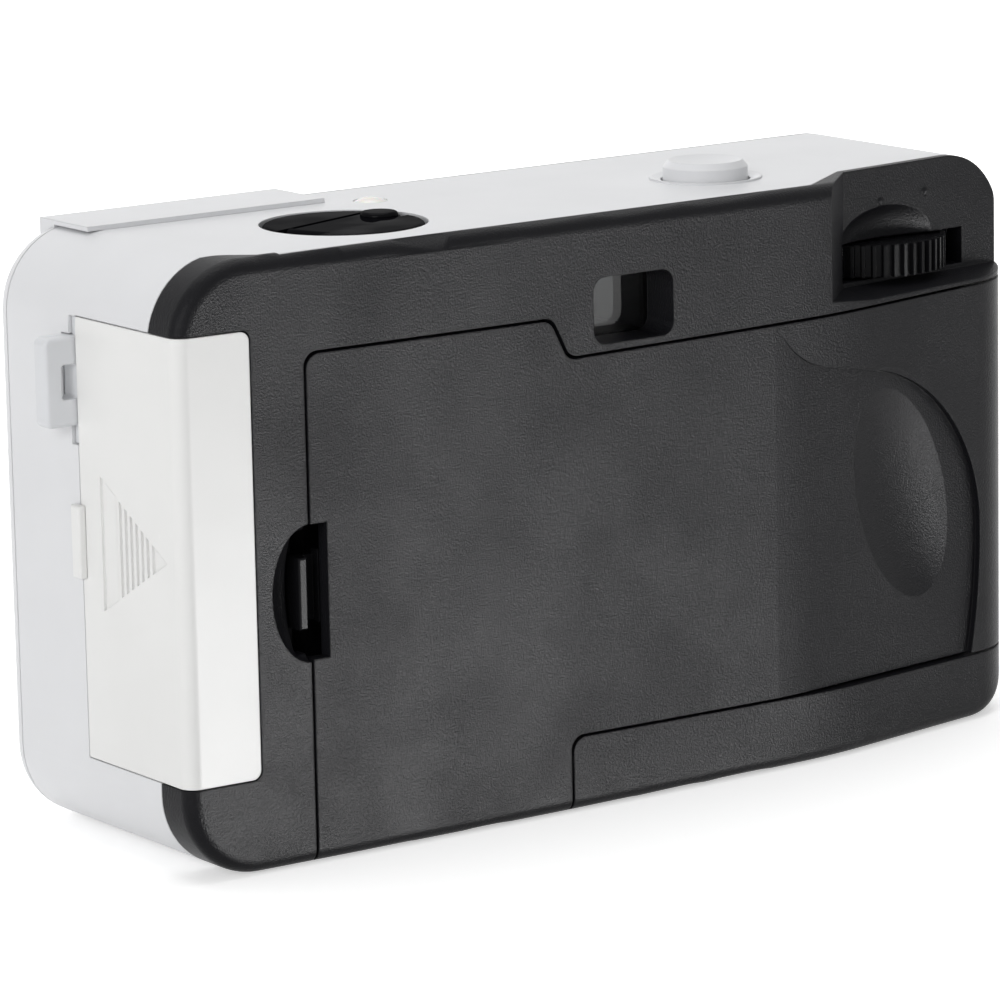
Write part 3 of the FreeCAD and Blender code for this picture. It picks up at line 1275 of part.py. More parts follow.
def advance_parts():
    radius = size("wheel_radius")
    low, high = wheel_low, wheel_high
    wheel = body("thumb_wheel_form")
    root = radius - 0.7
    quarters = {}
    for n in range(4):
        angle = math.radians(45 + 90 * n)
        quarters[n] = (root, (root * math.cos(angle), root * math.sin(angle)))
    disc = outline("wheel_disc", [(root, 0.0), (0.0, root), (-root, 0.0), (0.0, -root)], quarters, owner=wheel)
    disc.AttachmentSupport = [(plane_of(wheel, "XY_Plane"), "")]
    disc.MapMode = "FlatFace"
    pad = wheel.newObject("PartDesign::Pad", "wheel_pad")
    pad.Profile = disc
    bind(pad, "Length", high - low)
    tooth_half = 0.32
    tooth = outline("wheel_tooth", [(radius - 1.2, -tooth_half), (radius - 0.1, -tooth_half * 0.6),
                                    (radius - 0.1, tooth_half * 0.6), (radius - 1.2, tooth_half)], owner=wheel)
    tooth.AttachmentSupport = [(plane_of(wheel, "XY_Plane"), "")]
    tooth.MapMode = "FlatFace"
    rib = wheel.newObject("PartDesign::Pad", "wheel_rib")
    rib.Profile = tooth
    bind(rib, "Length", high - low)
    document.recompute()
    ribs = wheel.newObject("PartDesign::PolarPattern", "wheel_ribs")
    ribs.Originals = [rib]
    ribs.Axis = (disc, ["N_Axis"])
    ribs.Angle = 360
    bind(ribs, "Occurrences", size("wheel_teeth"))
    wheel.Tip = ribs
    place_at(wheel, wheel_x, wheel_y, low)
    bore = rod("wheel_bore", 2.0, wheel_x, wheel_y, (low - 1.0, high + 1.0))
    keep(cut("thumb_wheel", wheel, bore), "thumb_wheel")

    span = spool_high - spool_low
    axle = wheel_high + 3.6 - spool_low
    core = size("spool_core_radius")
    spool = turned("spool_form", [
        (0.0, -1.2), (1.2, -1.2), (1.2, 0.3), (core + 1.2, 0.3), (core + 1.2, 1.0), (core, 1.6),
        (core, span - 1.6), (core + 1.2, span - 1.0), (core + 1.2, span - 0.3),
        (2.0, span - 0.3), (2.0, axle), (0.0, axle)],
        wheel_x, wheel_y, spool_low)
    slits = [box(f"spool_slit_{n}", (wheel_x - 0.5, wheel_x + 0.5), (wheel_y - 9.0, wheel_y + 9.0),
                 (film_z - 12.0 + n * 14.0, film_z - 2.0 + n * 14.0)) for n in range(2)]
    keep(cut("take_up_spool", spool, *slits), "take_up_spool")

    drum, waist = size("sprocket_radius"), size("sprocket_waist")
    row = size("perforation_offset")
    flange = size("sprocket_flange")
    bottom = film_z - row - flange
    turned_drum = turned("sprocket_form", [
        (0.0, as_size(3.9) - bottom), (1.5, as_size(3.9) - bottom), (1.5, 0.0), (drum, 0.0),
        (drum, 5.6), (waist, 6.6),
        (waist, 2 * row - 0.2), (drum, 2 * row + 0.8), (drum, 2 * (row + flange)), (1.5, 2 * (row + flange)),
        (1.5, 2 * row + 9.0), (0.0, 2 * row + 9.0)], sprocket_x, sprocket_y, bottom)
    profile = document.getObject("sprocket_form_profile")
    teeth = []
    for n, level in enumerate((flange, 2 * row + flange)):
        sketch = outline(f"sprocket_tooth_{n}", [
            (drum - 0.6, -0.95), (drum + 0.3, -0.8), (drum + size("sprocket_tooth"), -0.35),
            (drum + size("sprocket_tooth"), 0.35), (drum + 0.3, 0.8), (drum - 0.6, 0.95)], owner=turned_drum)
        sketch.AttachmentSupport = [(plane_of(turned_drum, "XY_Plane"), "")]
        sketch.MapMode = "FlatFace"
        sketch.setExpression("AttachmentOffset.Base.z", (level - 0.65).formula)
        pad = turned_drum.newObject("PartDesign::Pad", f"sprocket_pad_{n}")
        pad.Profile = sketch
        pad.Length = 1.3
        teeth.append(pad)
    document.recompute()
    pattern = turned_drum.newObject("PartDesign::PolarPattern", "sprocket_pattern")
    pattern.Originals = teeth
    pattern.Axis = (profile, ["V_Axis"])
    pattern.Angle = 360
    bind(pattern, "Occurrences", size("sprocket_teeth"))
    turned_drum.Tip = pattern
    keep(turned_drum, "sprocket")


def base_parts():
    x, y, radius = -size("counter_x"), size("counter_y"), size("counter_radius")
    dial = ring("dial_disc", radius, 1.5 + size("running_gap"), x, y, (wall + 0.3, wall + 1.1))
    notches = [rod(f"dial_notch_{n}", 0.25, x + radius * math.cos(math.radians(n * 10)),
                   y + radius * math.sin(math.radians(n * 10)), (1.0, 3.0)) for n in range(36)]
    keep(cut("counter_dial", dial, *notches), "counter_dial")
    pane_r = size("counter_window_radius") - 0.05
    keep(turned("counter_window", [(0.0, 0.1), (pane_r, 0.1), (pane_r, wall - 0.1), (0.0, wall - 0.1)],
                x, counter_window_y, 0.0), "counter_window")
    button = join("release_form", rod("release_face", 2.5, sprocket_x, sprocket_y, (0.2, wall + 0.2)),
                  rod("release_flange", 3.2, sprocket_x, sprocket_y, (wall + 0.1, wall + 0.6)),
                  rod("release_stem", 1.3, sprocket_x, sprocket_y, (wall + 0.5, 3.0)))
    keep(button, "rewind_release_button")
    screws = []
    for n, (sx, sy) in enumerate(SCREWS):
        head = rod(f"screw_head_{n}", 2.0, sx, sy, (0.15, 0.9))
        shank = rod(f"screw_shank_{n}", 1.0, sx, sy, (0.8, chamber_low + size("screw_reach")))
        slots = [box(f"screw_slot_{n}_{k}", (sx - w, sx + w), (sy - v, sy + v), (0.0, 0.5))
                 for k, (w, v) in enumerate(((1.3, 0.25), (0.25, 1.3)))]
        screws.append(cut(f"screw_{n}", join(f"screw_form_{n}", head, shank), *slots))
    group = named("Part::Compound", "case_screws")
    group.Links = screws
    keep(group, "case_screws")


def door_parts():
    thick = size("pressure_plate_thickness")
    sheet = film + size("film_rail") + size("plate_gap")
    half_gate = size("gate_width") / 2
    plate = box("pressure_sheet", (-half_gate - 1.0, half_gate + 0.6), (sheet, sheet + thick),
                (film_z - 19.0, film_z + 19.0))
    ribs = [box(f"pressure_rib_{n}", (4.0 - half_gate, half_gate - 4.0), (sheet + thick - 0.05, sheet + thick + 0.45),
                (film_z + z - 0.6, film_z + z + 0.6)) for n, z in enumerate((-14.0, 14.0))]
    keep(join("pressure_plate", plate, *ribs), "pressure_plate")
    inner_y = size("back_depth") - wall
    span = 13.0
    leaf_low = sheet + thick + size("plate_travel") + 0.15
    bow = inner_y - leaf_low - 0.02
    back_y = inner_y - 0.02
    leaf = prism("pressure_spring", "XY", [
        (-span, leaf_low), (span, leaf_low), (span, leaf_low + 0.3), (-span, leaf_low + 0.3)],
        (film_z - 4.0, film_z + 4.0),
        {0: (arch(as_size(span), bow - 0.3), (0.0, back_y - 0.3)),
         2: (arch(as_size(span), bow - 0.3), (0.0, back_y))})
    keep(leaf, "pressure_spring")

    edge = size("door_left")
    mid = size("latch_z")
    tab_right = edge + size("latch_tab_width")
    inner_at = crown_at(edge) - wall
    arm_y = inner_at - 2.4
    bar = box("latch_bar", (edge - 5.9, edge - 1.9), (arm_y + 1.0, inner_at - 0.15), (mid - 3.6, mid + 4.0))
    arm = box("latch_arm", (edge - 3.0, tab_right), (arm_y, arm_y + 1.3), (mid - 3.4, mid + 3.4))
    tab = box("latch_tab", (edge, tab_right), (arm_y, crown_at(edge) - 0.7), (mid - 3.9, mid + 3.6))
    tab = rounded("latch_tab_round", tab, 0.25, lambda e, shape: e.BoundBox.YMin > crown_at(edge).number - 0.75)
    keep(join("door_latch", bar, arm, tab), "door_latch")


def pin_part():
    low = size("panel_top_hinge") - door_gap - 1.6
    keep(rod("hinge_pin", size("hinge_pin_radius"), pin_x, pin_y, (low, sill + 1.4)), "hinge_pin")


shell_back = rear_skin()
front_cover()
body_shell()
rear_frame(shell_back)
film_mouldings(shell_back)
film_door()
lens_parts()
shutter_parts()
finder_parts()
flash_parts()
power_parts()
lug_part()
rewind_parts()
top_parts()
advance_parts()
base_parts()
door_parts()
pin_part()

document.recompute()
for item in document.Objects:
    if "Invalid" in item.State or "Error" in item.State:
        raise RuntimeError(f"{item.Label} did not build: {item.State}")
for item in finished:
    if item.Shape.isNull() or not item.Shape.isValid() or not item.Shape.Solids:
        raise RuntimeError(f"{item.Label} has no sound solid")
os.makedirs("parts", exist_ok=True)
for item in finished:
    shape = item.Shape
    bounds = shape.BoundBox
    print(item.Label, len(shape.Solids), round(shape.Volume, 1), len(shape.Faces),
          [round(v, 2) for v in (bounds.XMin, bounds.XMax, bounds.YMin, bounds.YMax, bounds.ZMin, bounds.ZMax)])
    shape.exportStep(f"parts/{item.Label}.step")
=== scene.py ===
import json
import math

import bpy
from bpy.props import FloatProperty, FloatVectorProperty, IntProperty, PointerProperty
from mathutils import Matrix, Vector


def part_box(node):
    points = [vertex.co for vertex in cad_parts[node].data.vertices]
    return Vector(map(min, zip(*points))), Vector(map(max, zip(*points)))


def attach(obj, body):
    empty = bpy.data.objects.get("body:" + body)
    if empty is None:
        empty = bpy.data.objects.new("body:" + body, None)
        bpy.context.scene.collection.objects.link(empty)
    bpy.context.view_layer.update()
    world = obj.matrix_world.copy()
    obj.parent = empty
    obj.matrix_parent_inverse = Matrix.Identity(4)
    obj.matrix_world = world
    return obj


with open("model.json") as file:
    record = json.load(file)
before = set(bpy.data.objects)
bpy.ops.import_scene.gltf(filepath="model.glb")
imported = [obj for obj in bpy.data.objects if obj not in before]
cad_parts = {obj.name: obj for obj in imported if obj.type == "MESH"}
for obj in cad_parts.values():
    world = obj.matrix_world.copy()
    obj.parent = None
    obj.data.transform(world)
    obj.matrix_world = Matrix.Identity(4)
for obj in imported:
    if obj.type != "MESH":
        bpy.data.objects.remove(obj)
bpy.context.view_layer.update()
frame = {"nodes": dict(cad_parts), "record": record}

bl_info = {
    "name": "Reusable Film Camera Finishes",
    "version": (1, 0, 0),
    "blender": (4, 5, 0),
    "location": "View3D > Sidebar > Film Camera",
    "description": "Finishes, small trim and a plain studio for a compact reusable 35 mm film camera",
    "category": "Object",
}

NODES = frame["nodes"]
MM = 0.001

# Share of a moulded colour that its dark patches keep, and the factor and offset of its pale specks
PATCH_SHADE = 0.88
SPECK_LIFT, SPECK_OFFSET = 1.10, 0.004
TINT_STRENGTH = 0.5
# How far the roughness of drawn metal runs below and above its middle
METAL_SMOOTHER, METAL_ROUGHER = 0.10, 0.16
METAL_TARNISH = 0.7

# Finder frame, a pale plate whose grey is painted light and reflection seen in the eyepiece: wall of the tunnel
# round it, its width at the sides and at the edges, and its y limits, in mm
TUNNEL_WALL = 1.0
FRAME_SIDE, FRAME_EDGE = 1.8, 1.4
FRAME_DEPTH = (-1.2, -0.7)

# Counter: frames in a turn, the ring of numbers as a share of the dial's radius, and the ink in metres
COUNTER_FRAMES = 40
NUMBER_RING = 0.775
INK_GAP, INK_THICKNESS = 0.00002, 0.00001

# Studio, in metres: the floor's half width and height, and where its lift to white starts and ends
FLOOR_REACH, FLOOR_LEVEL = 6.0, -0.0001
LIFT_START, LIFT_END = 0.25, 0.9
LAMP_AIM = Vector((0.0, 0.0, 0.03))
# Name, setting that holds the power, place and size of each lamp. Two sizes make a rectangle, one a disk.
LAMPS = (
    ("key_light", "key", (1.2, 0.6, 0.5), (0.9,)),
    ("fill_light", "fill", (-0.9, 1.0, 0.45), (1.3,)),
    ("top_light", "top", (-0.1, -0.25, 1.25), (1.2,)),
    ("front_light", "front", (-0.45, -1.3, 0.25), (1.0,)),
    ("sheen_light", "sheen", (-0.30, 0.62, -0.22), (0.3, 0.2)),
)
VIEW_PLACE = (0.342166, 0.472920, 0.149077)
VIEW_RIGHT, VIEW_UP = (-0.81241, 0.58274, -0.02007), (-0.13298, -0.15166, 0.97945)
VIEW_SENSOR, VIEW_LENS, VIEW_REACH = 36.0, 198.98, 20.0


def colour_property(label, description, default):
    return FloatVectorProperty(name=label, description=description, default=default, size=3,
                               subtype="COLOR", min=0.0, max=1.0)


def length_property(label, description, default):
    return FloatProperty(name=label, description=description, default=default, min=0.0,
                         subtype="DISTANCE", unit="LENGTH", precision=6)


class WhiteShellSettings(bpy.types.PropertyGroup):
    shell: colour_property("Shell white", "Cool white of the front cover and the body shell", (0.72, 0.725, 0.74))
    battery_door: colour_property("Battery door white", "Slightly warmer white of the battery door",
                                  (0.80, 0.80, 0.79))
    lug: colour_property("Strap lug grey", "Light grey of the strap lug", (0.66, 0.67, 0.69))
    grain_size: length_property("Grain size", "Spacing of the faint grain in the white plastic", 0.00022)
    grain_depth: length_property("Grain depth", "Depth of the faint grain in the white plastic", 0.000004)


class BlackBackSettings(bpy.types.PropertyGroup):
    back: colour_property("Back black", "Black of the grained back, film door and lower panel",
                          (0.008, 0.008, 0.0095))
    gloss: colour_property("Gloss black", "Black of the polished knob, crank and lens ring", (0.004, 0.004, 0.005))
    inside: colour_property("Inside black", "Matt black of the parts inside the camera", (0.006, 0.006, 0.007))
    grain_size: length_property("Grain size", "Spacing of the spark eroded grain", 0.00021)
    grain_depth: length_property("Grain depth", "Depth of the spark eroded grain", 0.00006)


class WorksSettings(bpy.types.PropertyGroup):
    board: colour_property("Board green", "Green lacquer of the flash board", (0.02, 0.16, 0.07))
    copper: colour_property("Track copper", "Tracks that show through the lacquer", (0.10, 0.30, 0.10))
    lamp: colour_property("Lamp lens", "Milky lens of the flash ready lamp", (0.86, 0.84, 0.80))
    number_height: length_property("Counter number height", "Height of the frame counter's numbers", 0.0019)
    number_step: IntProperty(name="Counter step", description="Frames between two printed numbers", default=4,
                             min=1, max=12)


class StudioSettings(bpy.types.PropertyGroup):
    floor: colour_property("Floor", "Pale floor that the camera stands on", (0.93, 0.93, 0.93))
    key: FloatProperty(name="Key light", description="Power of the large soft light by the battery side",
                       default=9.4, min=0.0, subtype="POWER", unit="POWER")
    fill: FloatProperty(name="Fill light", description="Power of the soft light by the hinge side",
                        default=0.6, min=0.0, subtype="POWER", unit="POWER")
    top: FloatProperty(name="Top light", description="Power of the soft light overhead", default=7.8, min=0.0,
                       subtype="POWER", unit="POWER")
    front: FloatProperty(name="Front light", description="Power of the soft light before the lens", default=9.0,
                         min=0.0, subtype="POWER", unit="POWER")
    sheen: FloatProperty(name="Sheen light", description="Power of the light that gives only gloss to the back",
                         default=8.5, min=0.0, subtype="POWER", unit="POWER")
    glow: FloatProperty(name="Background lift", description="Lift that carries the pale floor to white in the view",
                        default=0.45, min=0.0, max=1.0)
    ambient: FloatProperty(name="Surroundings", description="Brightness of the white room that lights the part",
                           default=0.30, min=0.0, max=2.0)


# Shader node groups that several finishes share


def group_sockets(group, inputs, outputs):
    for label, kind, value in inputs:
        group.interface.new_socket(name=label, in_out="INPUT", socket_type=kind).default_value = value
    for label, kind in outputs:
        group.interface.new_socket(name=label, in_out="OUTPUT", socket_type=kind)
    return group.nodes.new("NodeGroupInput"), group.nodes.new("NodeGroupOutput")


def feed(tree, socket, value):
    """Set a socket to a number, or link it to another socket."""
    if isinstance(value, (int, float)):
        socket.default_value = value
    else:
        tree.links.new(value, socket)


def math_node(tree, operation, first, second, clamp=False):
    node = tree.nodes.new("ShaderNodeMath")
    node.operation = operation
    node.use_clamp = clamp
    feed(tree, node.inputs[0], first)
    feed(tree, node.inputs[1], second)
    return node.outputs[0]


def noise_node(tree, vector, scale, detail=2.0, roughness=0.5):
    node = tree.nodes.new("ShaderNodeTexNoise")
    node.inputs["Detail"].default_value = detail
    node.inputs["Roughness"].default_value = roughness
    tree.links.new(vector, node.inputs["Vector"])
    feed(tree, node.inputs["Scale"], scale)
    return node.outputs["Fac"]


def range_node(tree, value, source, target):
    """Carry a value from one range of numbers to another, clamped at its ends."""
    node = tree.nodes.new("ShaderNodeMapRange")
    tree.links.new(value, node.inputs["Value"])
    for label, number in zip(("From Min", "From Max", "To Min", "To Max"), (*source, *target)):
        node.inputs[label].default_value = number
    return node.outputs["Result"]


def moulded_grain_group():
    """Spark eroded grain: a height, and a mask of the patches where the grain is deeper."""
    group = bpy.data.node_groups.get("moulded_grain")
    if group:
        return group
    group = bpy.data.node_groups.new("moulded_grain", "ShaderNodeTree")
    source, sink = group_sockets(
        group,
        [("Size", "NodeSocketFloat", 0.0003), ("Depth", "NodeSocketFloat", 1.0)],
        [("Height", "NodeSocketFloat"), ("Patches", "NodeSocketFloat")])
    place = group.nodes.new("ShaderNodeTexCoord").outputs["Object"]
    scale = math_node(group, "DIVIDE", 1.0, source.outputs["Size"])
    coarse = noise_node(group, place, scale, 1.5, 0.55)
    fine = noise_node(group, place, math_node(group, "MULTIPLY", scale, 2.3), 1.0, 0.5)
    patches = noise_node(group, place, 90.0, 2.0, 0.5)
    mixed = math_node(group, "ADD", coarse, math_node(group, "MULTIPLY", fine, 0.45))
    lively = range_node(group, patches, (0.35, 0.65), (0.75, 1.1))
    height = math_node(group, "MULTIPLY", math_node(group, "MULTIPLY", mixed, lively), source.outputs["Depth"])
    group.links.new(height, sink.inputs["Height"])
    group.links.new(patches, sink.inputs["Patches"])
    return group


def handling_marks_group():
    """Faint smears and specks from handling: a smear mask and a speck mask."""
    group = bpy.data.node_groups.get("handling_marks")
    if group:
        return group
    group = bpy.data.node_groups.new("handling_marks", "ShaderNodeTree")
    source, sink = group_sockets(
        group,
        [("Smear", "NodeSocketFloat", 1.0), ("Speck", "NodeSocketFloat", 1.0)],
        [("Smears", "NodeSocketFloat"), ("Specks", "NodeSocketFloat")])
    place = group.nodes.new("ShaderNodeTexCoord").outputs["Object"]
    broad = noise_node(group, place, 55.0, 3.0, 0.6)
    smears = math_node(group, "MULTIPLY", range_node(group, broad, (0.42, 0.72), (0.0, 1.0)),
                       source.outputs["Smear"])
    dots = group.nodes.new("ShaderNodeTexVoronoi")
    dots.inputs["Scale"].default_value = 420.0
    group.links.new(place, dots.inputs["Vector"])
    sparse = range_node(group, noise_node(group, place, 210.0, 1.0), (0.60, 0.70), (0.0, 1.0))
    round_dots = range_node(group, dots.outputs["Distance"], (0.05, 0.12), (1.0, 0.0))
    spots = math_node(group, "MULTIPLY", round_dots, sparse)
    group.links.new(smears, sink.inputs["Smears"])
    group.links.new(math_node(group, "MULTIPLY", spots, source.outputs["Speck"]), sink.inputs["Specks"])
    return group


def brushed_lines_group():
    """Fine lines that run along one axis of the part, for drawn wire and turned steel."""
    group = bpy.data.node_groups.get("brushed_lines")
    if group:
        return group
    group = bpy.data.node_groups.new("brushed_lines", "ShaderNodeTree")
    source, sink = group_sockets(
        group,
        [("Spacing", "NodeSocketFloat", 0.0001), ("Stretch", "NodeSocketVector", (1.0, 1.0, 0.05))],
        [("Lines", "NodeSocketFloat")])
    place = group.nodes.new("ShaderNodeTexCoord").outputs["Object"]
    squeezed = group.nodes.new("ShaderNodeVectorMath")
    squeezed.operation = "MULTIPLY"
    group.links.new(place, squeezed.inputs[0])
    group.links.new(source.outputs["Stretch"], squeezed.inputs[1])
    scale = math_node(group, "DIVIDE", 1.0, source.outputs["Spacing"])
    lines = noise_node(group, squeezed.outputs[0], scale, 2.0)
    group.links.new(lines, sink.inputs["Lines"])
    return group


class Finish:
    """One material, its node tree and its Principled shader."""

    def __init__(self, name, colour, roughness, metallic=0.0, **plain):
        self.material = bpy.data.materials.new(name)
        self.material.use_nodes = True
        self.tree = self.material.node_tree
        self.shader = self.tree.nodes["Principled BSDF"]
        self.colour = tuple(colour) + (1.0,)
        self.shader.inputs["Base Color"].default_value = self.colour
        self.shader.inputs["Roughness"].default_value = roughness
        self.shader.inputs["Metallic"].default_value = metallic
        for label, value in plain.items():
            self.shader.inputs[label.replace("_", " ")].default_value = value

    def group(self, group, **values):
        node = self.tree.nodes.new("ShaderNodeGroup")
        node.node_tree = group
        for label, value in values.items():
            node.inputs[label].default_value = value
        return node

    def tint(self, mask, other, strength=1.0):
        """Mix the base colour towards another one by a mask."""
        node = self.tree.nodes.new("ShaderNodeMix")
        node.data_type = "RGBA"
        amount = math_node(self.tree, "MULTIPLY", mask, strength, clamp=True)
        self.tree.links.new(amount, node.inputs["Factor"])
        current = self.shader.inputs["Base Color"]
        if current.is_linked:
            self.tree.links.new(current.links[0].from_socket, node.inputs["A"])
        else:
            node.inputs["A"].default_value = self.colour
        node.inputs["B"].default_value = tuple(other) + (1.0,)
        self.tree.links.new(node.outputs["Result"], current)

    def roughen(self, mask, low, high):
        """Let roughness run from low to high with a mask."""
        rough = range_node(self.tree, mask, (0.0, 1.0), (low, high))
        self.tree.links.new(rough, self.shader.inputs["Roughness"])

    def relief(self, height, depth, corner=0.0):
        """Bump the surface by a height. A corner radius also softens the sharp edges' shading."""
        bump = self.tree.nodes.new("ShaderNodeBump")
        bump.inputs["Distance"].default_value = depth
        self.tree.links.new(height, bump.inputs["Height"])
        if corner:
            bevel = self.tree.nodes.new("ShaderNodeBevel")
            bevel.samples = 4
            bevel.inputs["Radius"].default_value = corner
            self.tree.links.new(bevel.outputs["Normal"], bump.inputs["Normal"])
        self.tree.links.new(bump.outputs["Normal"], self.shader.inputs["Normal"])


def moulded(name, colour, roughness, grain, spread=0.08, corner=0.0002, marks=0.5, shine=0.5):
    """Moulded plastic with its grain, given as size and depth, slight patchiness and faint handling marks."""
    grain_size, grain_depth = grain
    finish = Finish(name, colour, roughness, Specular_IOR_Level=shine)
    texture = finish.group(moulded_grain_group(), Size=grain_size)
    handling = finish.group(handling_marks_group(), Smear=marks, Speck=marks)
    darker = [value * PATCH_SHADE for value in colour]
    paler = [min(1.0, value * SPECK_LIFT + SPECK_OFFSET) for value in colour]
    finish.tint(texture.outputs["Patches"], darker, TINT_STRENGTH)
    finish.tint(handling.outputs["Specks"], paler, TINT_STRENGTH)
    halves = [math_node(finish.tree, "MULTIPLY", mask, 0.5)
              for mask in (handling.outputs["Smears"], texture.outputs["Patches"])]
    finish.roughen(math_node(finish.tree, "ADD", *halves), roughness - spread, roughness + spread)
    finish.relief(texture.outputs["Height"], grain_depth, corner)
    return finish


def seen_directly(tree):
    """A mask that is 1 for the view itself and for what gloss and glass show, and 0 for what lights the part."""
    path = tree.nodes.new("ShaderNodeLightPath")
    seen = math_node(tree, "MAXIMUM", path.outputs["Is Camera Ray"], path.outputs["Is Glossy Ray"])
    return math_node(tree, "MAXIMUM", seen, path.outputs["Is Transmission Ray"])


def nodes_in(slot):
    """The CAD nodes whose material slot in the record is this one."""
    return [part["node"] for part in frame["record"]["subparts"] if part["material_slot"] == slot]


def dress(material, *names):
    """Give CAD nodes their material."""
    for name in names:
        node = NODES[name]
        node.data.materials.clear()
        node.data.materials.append(material)


def ring_plate(outer, inner, depth):
    """Corners and faces of a flat rectangular frame: x and z limits outside and inside, y limits."""
    corners = [(x, y, z) for y in depth for limits in (outer, inner)
               for x, z in ((limits[0], limits[2]), (limits[1], limits[2]), (limits[1], limits[3]),
                            (limits[0], limits[3]))]
    faces = []
    for k in range(4):
        m = (k + 1) % 4
        faces += [(k, m, 4 + m, 4 + k), (8 + k, 12 + k, 12 + m, 8 + m), (k, 8 + k, 8 + m, m),
                  (4 + k, 4 + m, 12 + m, 12 + k)]
    return corners, faces


def add_mesh(name, verts, faces, material, body):
    mesh = bpy.data.meshes.new(name)
    mesh.from_pydata([Vector(v) * MM for v in verts], [], faces)
    mesh.validate()
    mesh.update()
    item = bpy.data.objects.new(name, mesh)
    bpy.context.scene.collection.objects.link(item)
    mesh.materials.append(material)
    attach(item, body)
    return item


class FILMCAMERA_OT_white_shells(bpy.types.Operator):
    """Finish the white covers, the battery door and the strap lug"""
    bl_idname = "filmcamera.white_shells"
    bl_label = "White shells"

    def execute(self, context):
        look = context.scene.film_camera_white
        grain = (look.grain_size, look.grain_depth)
        shell = moulded("white_shell", look.shell, 0.36, grain, spread=0.07, shine=0.3)
        dress(shell.material, "front_cover", "body_shell", "flash_bezel", "shutter_button", "button_collar")
        door = moulded("white_battery_door", look.battery_door, 0.34, grain, spread=0.06, shine=0.16)
        dress(door.material, "battery_door")
        lug = moulded("grey_lug", look.lug, 0.42, grain, spread=0.06)
        dress(lug.material, "strap_lug")
        return {"FINISHED"}


class FILMCAMERA_OT_black_back(bpy.types.Operator):
    """Finish the grained black back, the film door and the lower panel"""
    bl_idname = "filmcamera.black_back"
    bl_label = "Black back"

    def execute(self, context):
        look = context.scene.film_camera_black
        back = moulded("black_grain", look.back, 0.36, (look.grain_size, look.grain_depth),
                       spread=0.05, corner=0.00025, marks=0.4, shine=0.08)
        dress(back.material, *nodes_in("black_grain"))
        wheel = moulded("wheel_black", look.inside, 0.30, (look.grain_size * 0.8, look.grain_depth * 0.3),
                        spread=0.06, corner=0.0001, shine=0.06)
        dress(wheel.material, "thumb_wheel", "door_latch")
        return {"FINISHED"}


class FILMCAMERA_OT_film_works(bpy.types.Operator):
    """Finish the spool, sprocket, pressure plate and the other pieces inside the film space"""
    bl_idname = "filmcamera.film_works"
    bl_label = "Film works"

    def execute(self, context):
        look = context.scene.film_camera_black
        inside = moulded("black_inner", look.inside, 0.50, (0.00018, 0.000006), corner=0.0, marks=0.3, shine=0.1)
        dress(inside.material, *nodes_in("black_inner"))
        plate = moulded("pressure_plate_black", look.gloss, 0.22, (0.00035, 0.000003), spread=0.05, corner=0.0)
        dress(plate.material, "pressure_plate")
        return {"FINISHED"}


class FILMCAMERA_OT_gloss_controls(bpy.types.Operator):
    """Finish the polished black knob, crank, lens ring and switch"""
    bl_idname = "filmcamera.gloss_controls"
    bl_label = "Gloss controls"

    def execute(self, context):
        look = context.scene.film_camera_black
        gloss = moulded("black_gloss", look.gloss, 0.16, (0.0006, 0.000002), spread=0.06, marks=1.0, shine=0.0)
        polish = gloss.group(handling_marks_group(), Smear=1.0, Speck=1.0)
        wear = math_node(gloss.tree, "MAXIMUM", polish.outputs["Smears"], polish.outputs["Specks"])
        coat = range_node(gloss.tree, wear, (0.0, 1.0), (0.04, 0.16))
        gloss.tree.links.new(coat, gloss.shader.inputs["Coat Weight"])
        dress(gloss.material, "rewind_knob", "rewind_crank", "lens_bezel", "flash_switch", "rewind_release_button")
        return {"FINISHED"}


class FILMCAMERA_OT_optics(bpy.types.Operator):
    """Finish the lenses, windows and flash"""
    bl_idname = "filmcamera.optics"
    bl_label = "Optics and flash"

    def execute(self, context):
        clear = Finish("clear_window", (0.93, 0.95, 0.96), 0.04, IOR=1.49, Transmission_Weight=1.0)
        marks = clear.group(handling_marks_group(), Smear=1.0, Speck=1.0)
        clear.roughen(marks.outputs["Smears"], 0.03, 0.09)
        dress(clear.material, "viewfinder_front_lens", "viewfinder_rear_lens", "flash_window", "counter_window")
        glass = Finish("lens_glass", (0.86, 0.90, 0.97), 0.02, IOR=1.52, Transmission_Weight=1.0, Coat_Weight=0.3)
        marks = glass.group(handling_marks_group(), Smear=0.5, Speck=0.5)
        glass.roughen(marks.outputs["Smears"], 0.015, 0.05)
        dress(glass.material, "front_lens", "flash_tube")
        # Pale plate in the finder tunnel: its grey is painted light, standing in for the light and reflections seen
        # through the eyepiece
        painted_light_plate = moulded("finder_frame_grey", (0.62, 0.63, 0.65), 0.3, (0.0003, 0.000002),
                              spread=0.05, corner=0.0)
        low, high = [[value / MM for value in corner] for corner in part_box("viewfinder_tunnel")]
        left, right = low[0] + TUNNEL_WALL, high[0] - TUNNEL_WALL
        bottom, top = low[2] + TUNNEL_WALL, high[2] - TUNNEL_WALL
        corners, faces = ring_plate(
            (left, right, bottom, top),
            (left + FRAME_SIDE, right - FRAME_SIDE, bottom + FRAME_EDGE, top - FRAME_EDGE), FRAME_DEPTH)
        add_mesh("finder_frame", corners, faces, painted_light_plate.material, "camera")
        mirror = Finish("reflector_metal", (0.86, 0.87, 0.88), 0.12, 1.0)
        ripple = mirror.group(moulded_grain_group(), Size=0.0012)
        mirror.roughen(ripple.outputs["Patches"], 0.08, 0.22)
        mirror.relief(ripple.outputs["Height"], 0.00002)
        dress(mirror.material, "flash_reflector")
        lamp = moulded("lamp_lens", context.scene.film_camera_works.lamp, 0.20, (0.0004, 0.000002),
                       spread=0.05, corner=0.0)
        lamp.shader.inputs["Subsurface Weight"].default_value = 0.4
        lamp.shader.inputs["Subsurface Scale"].default_value = 0.001
        dress(lamp.material, "ready_lamp")
        return {"FINISHED"}


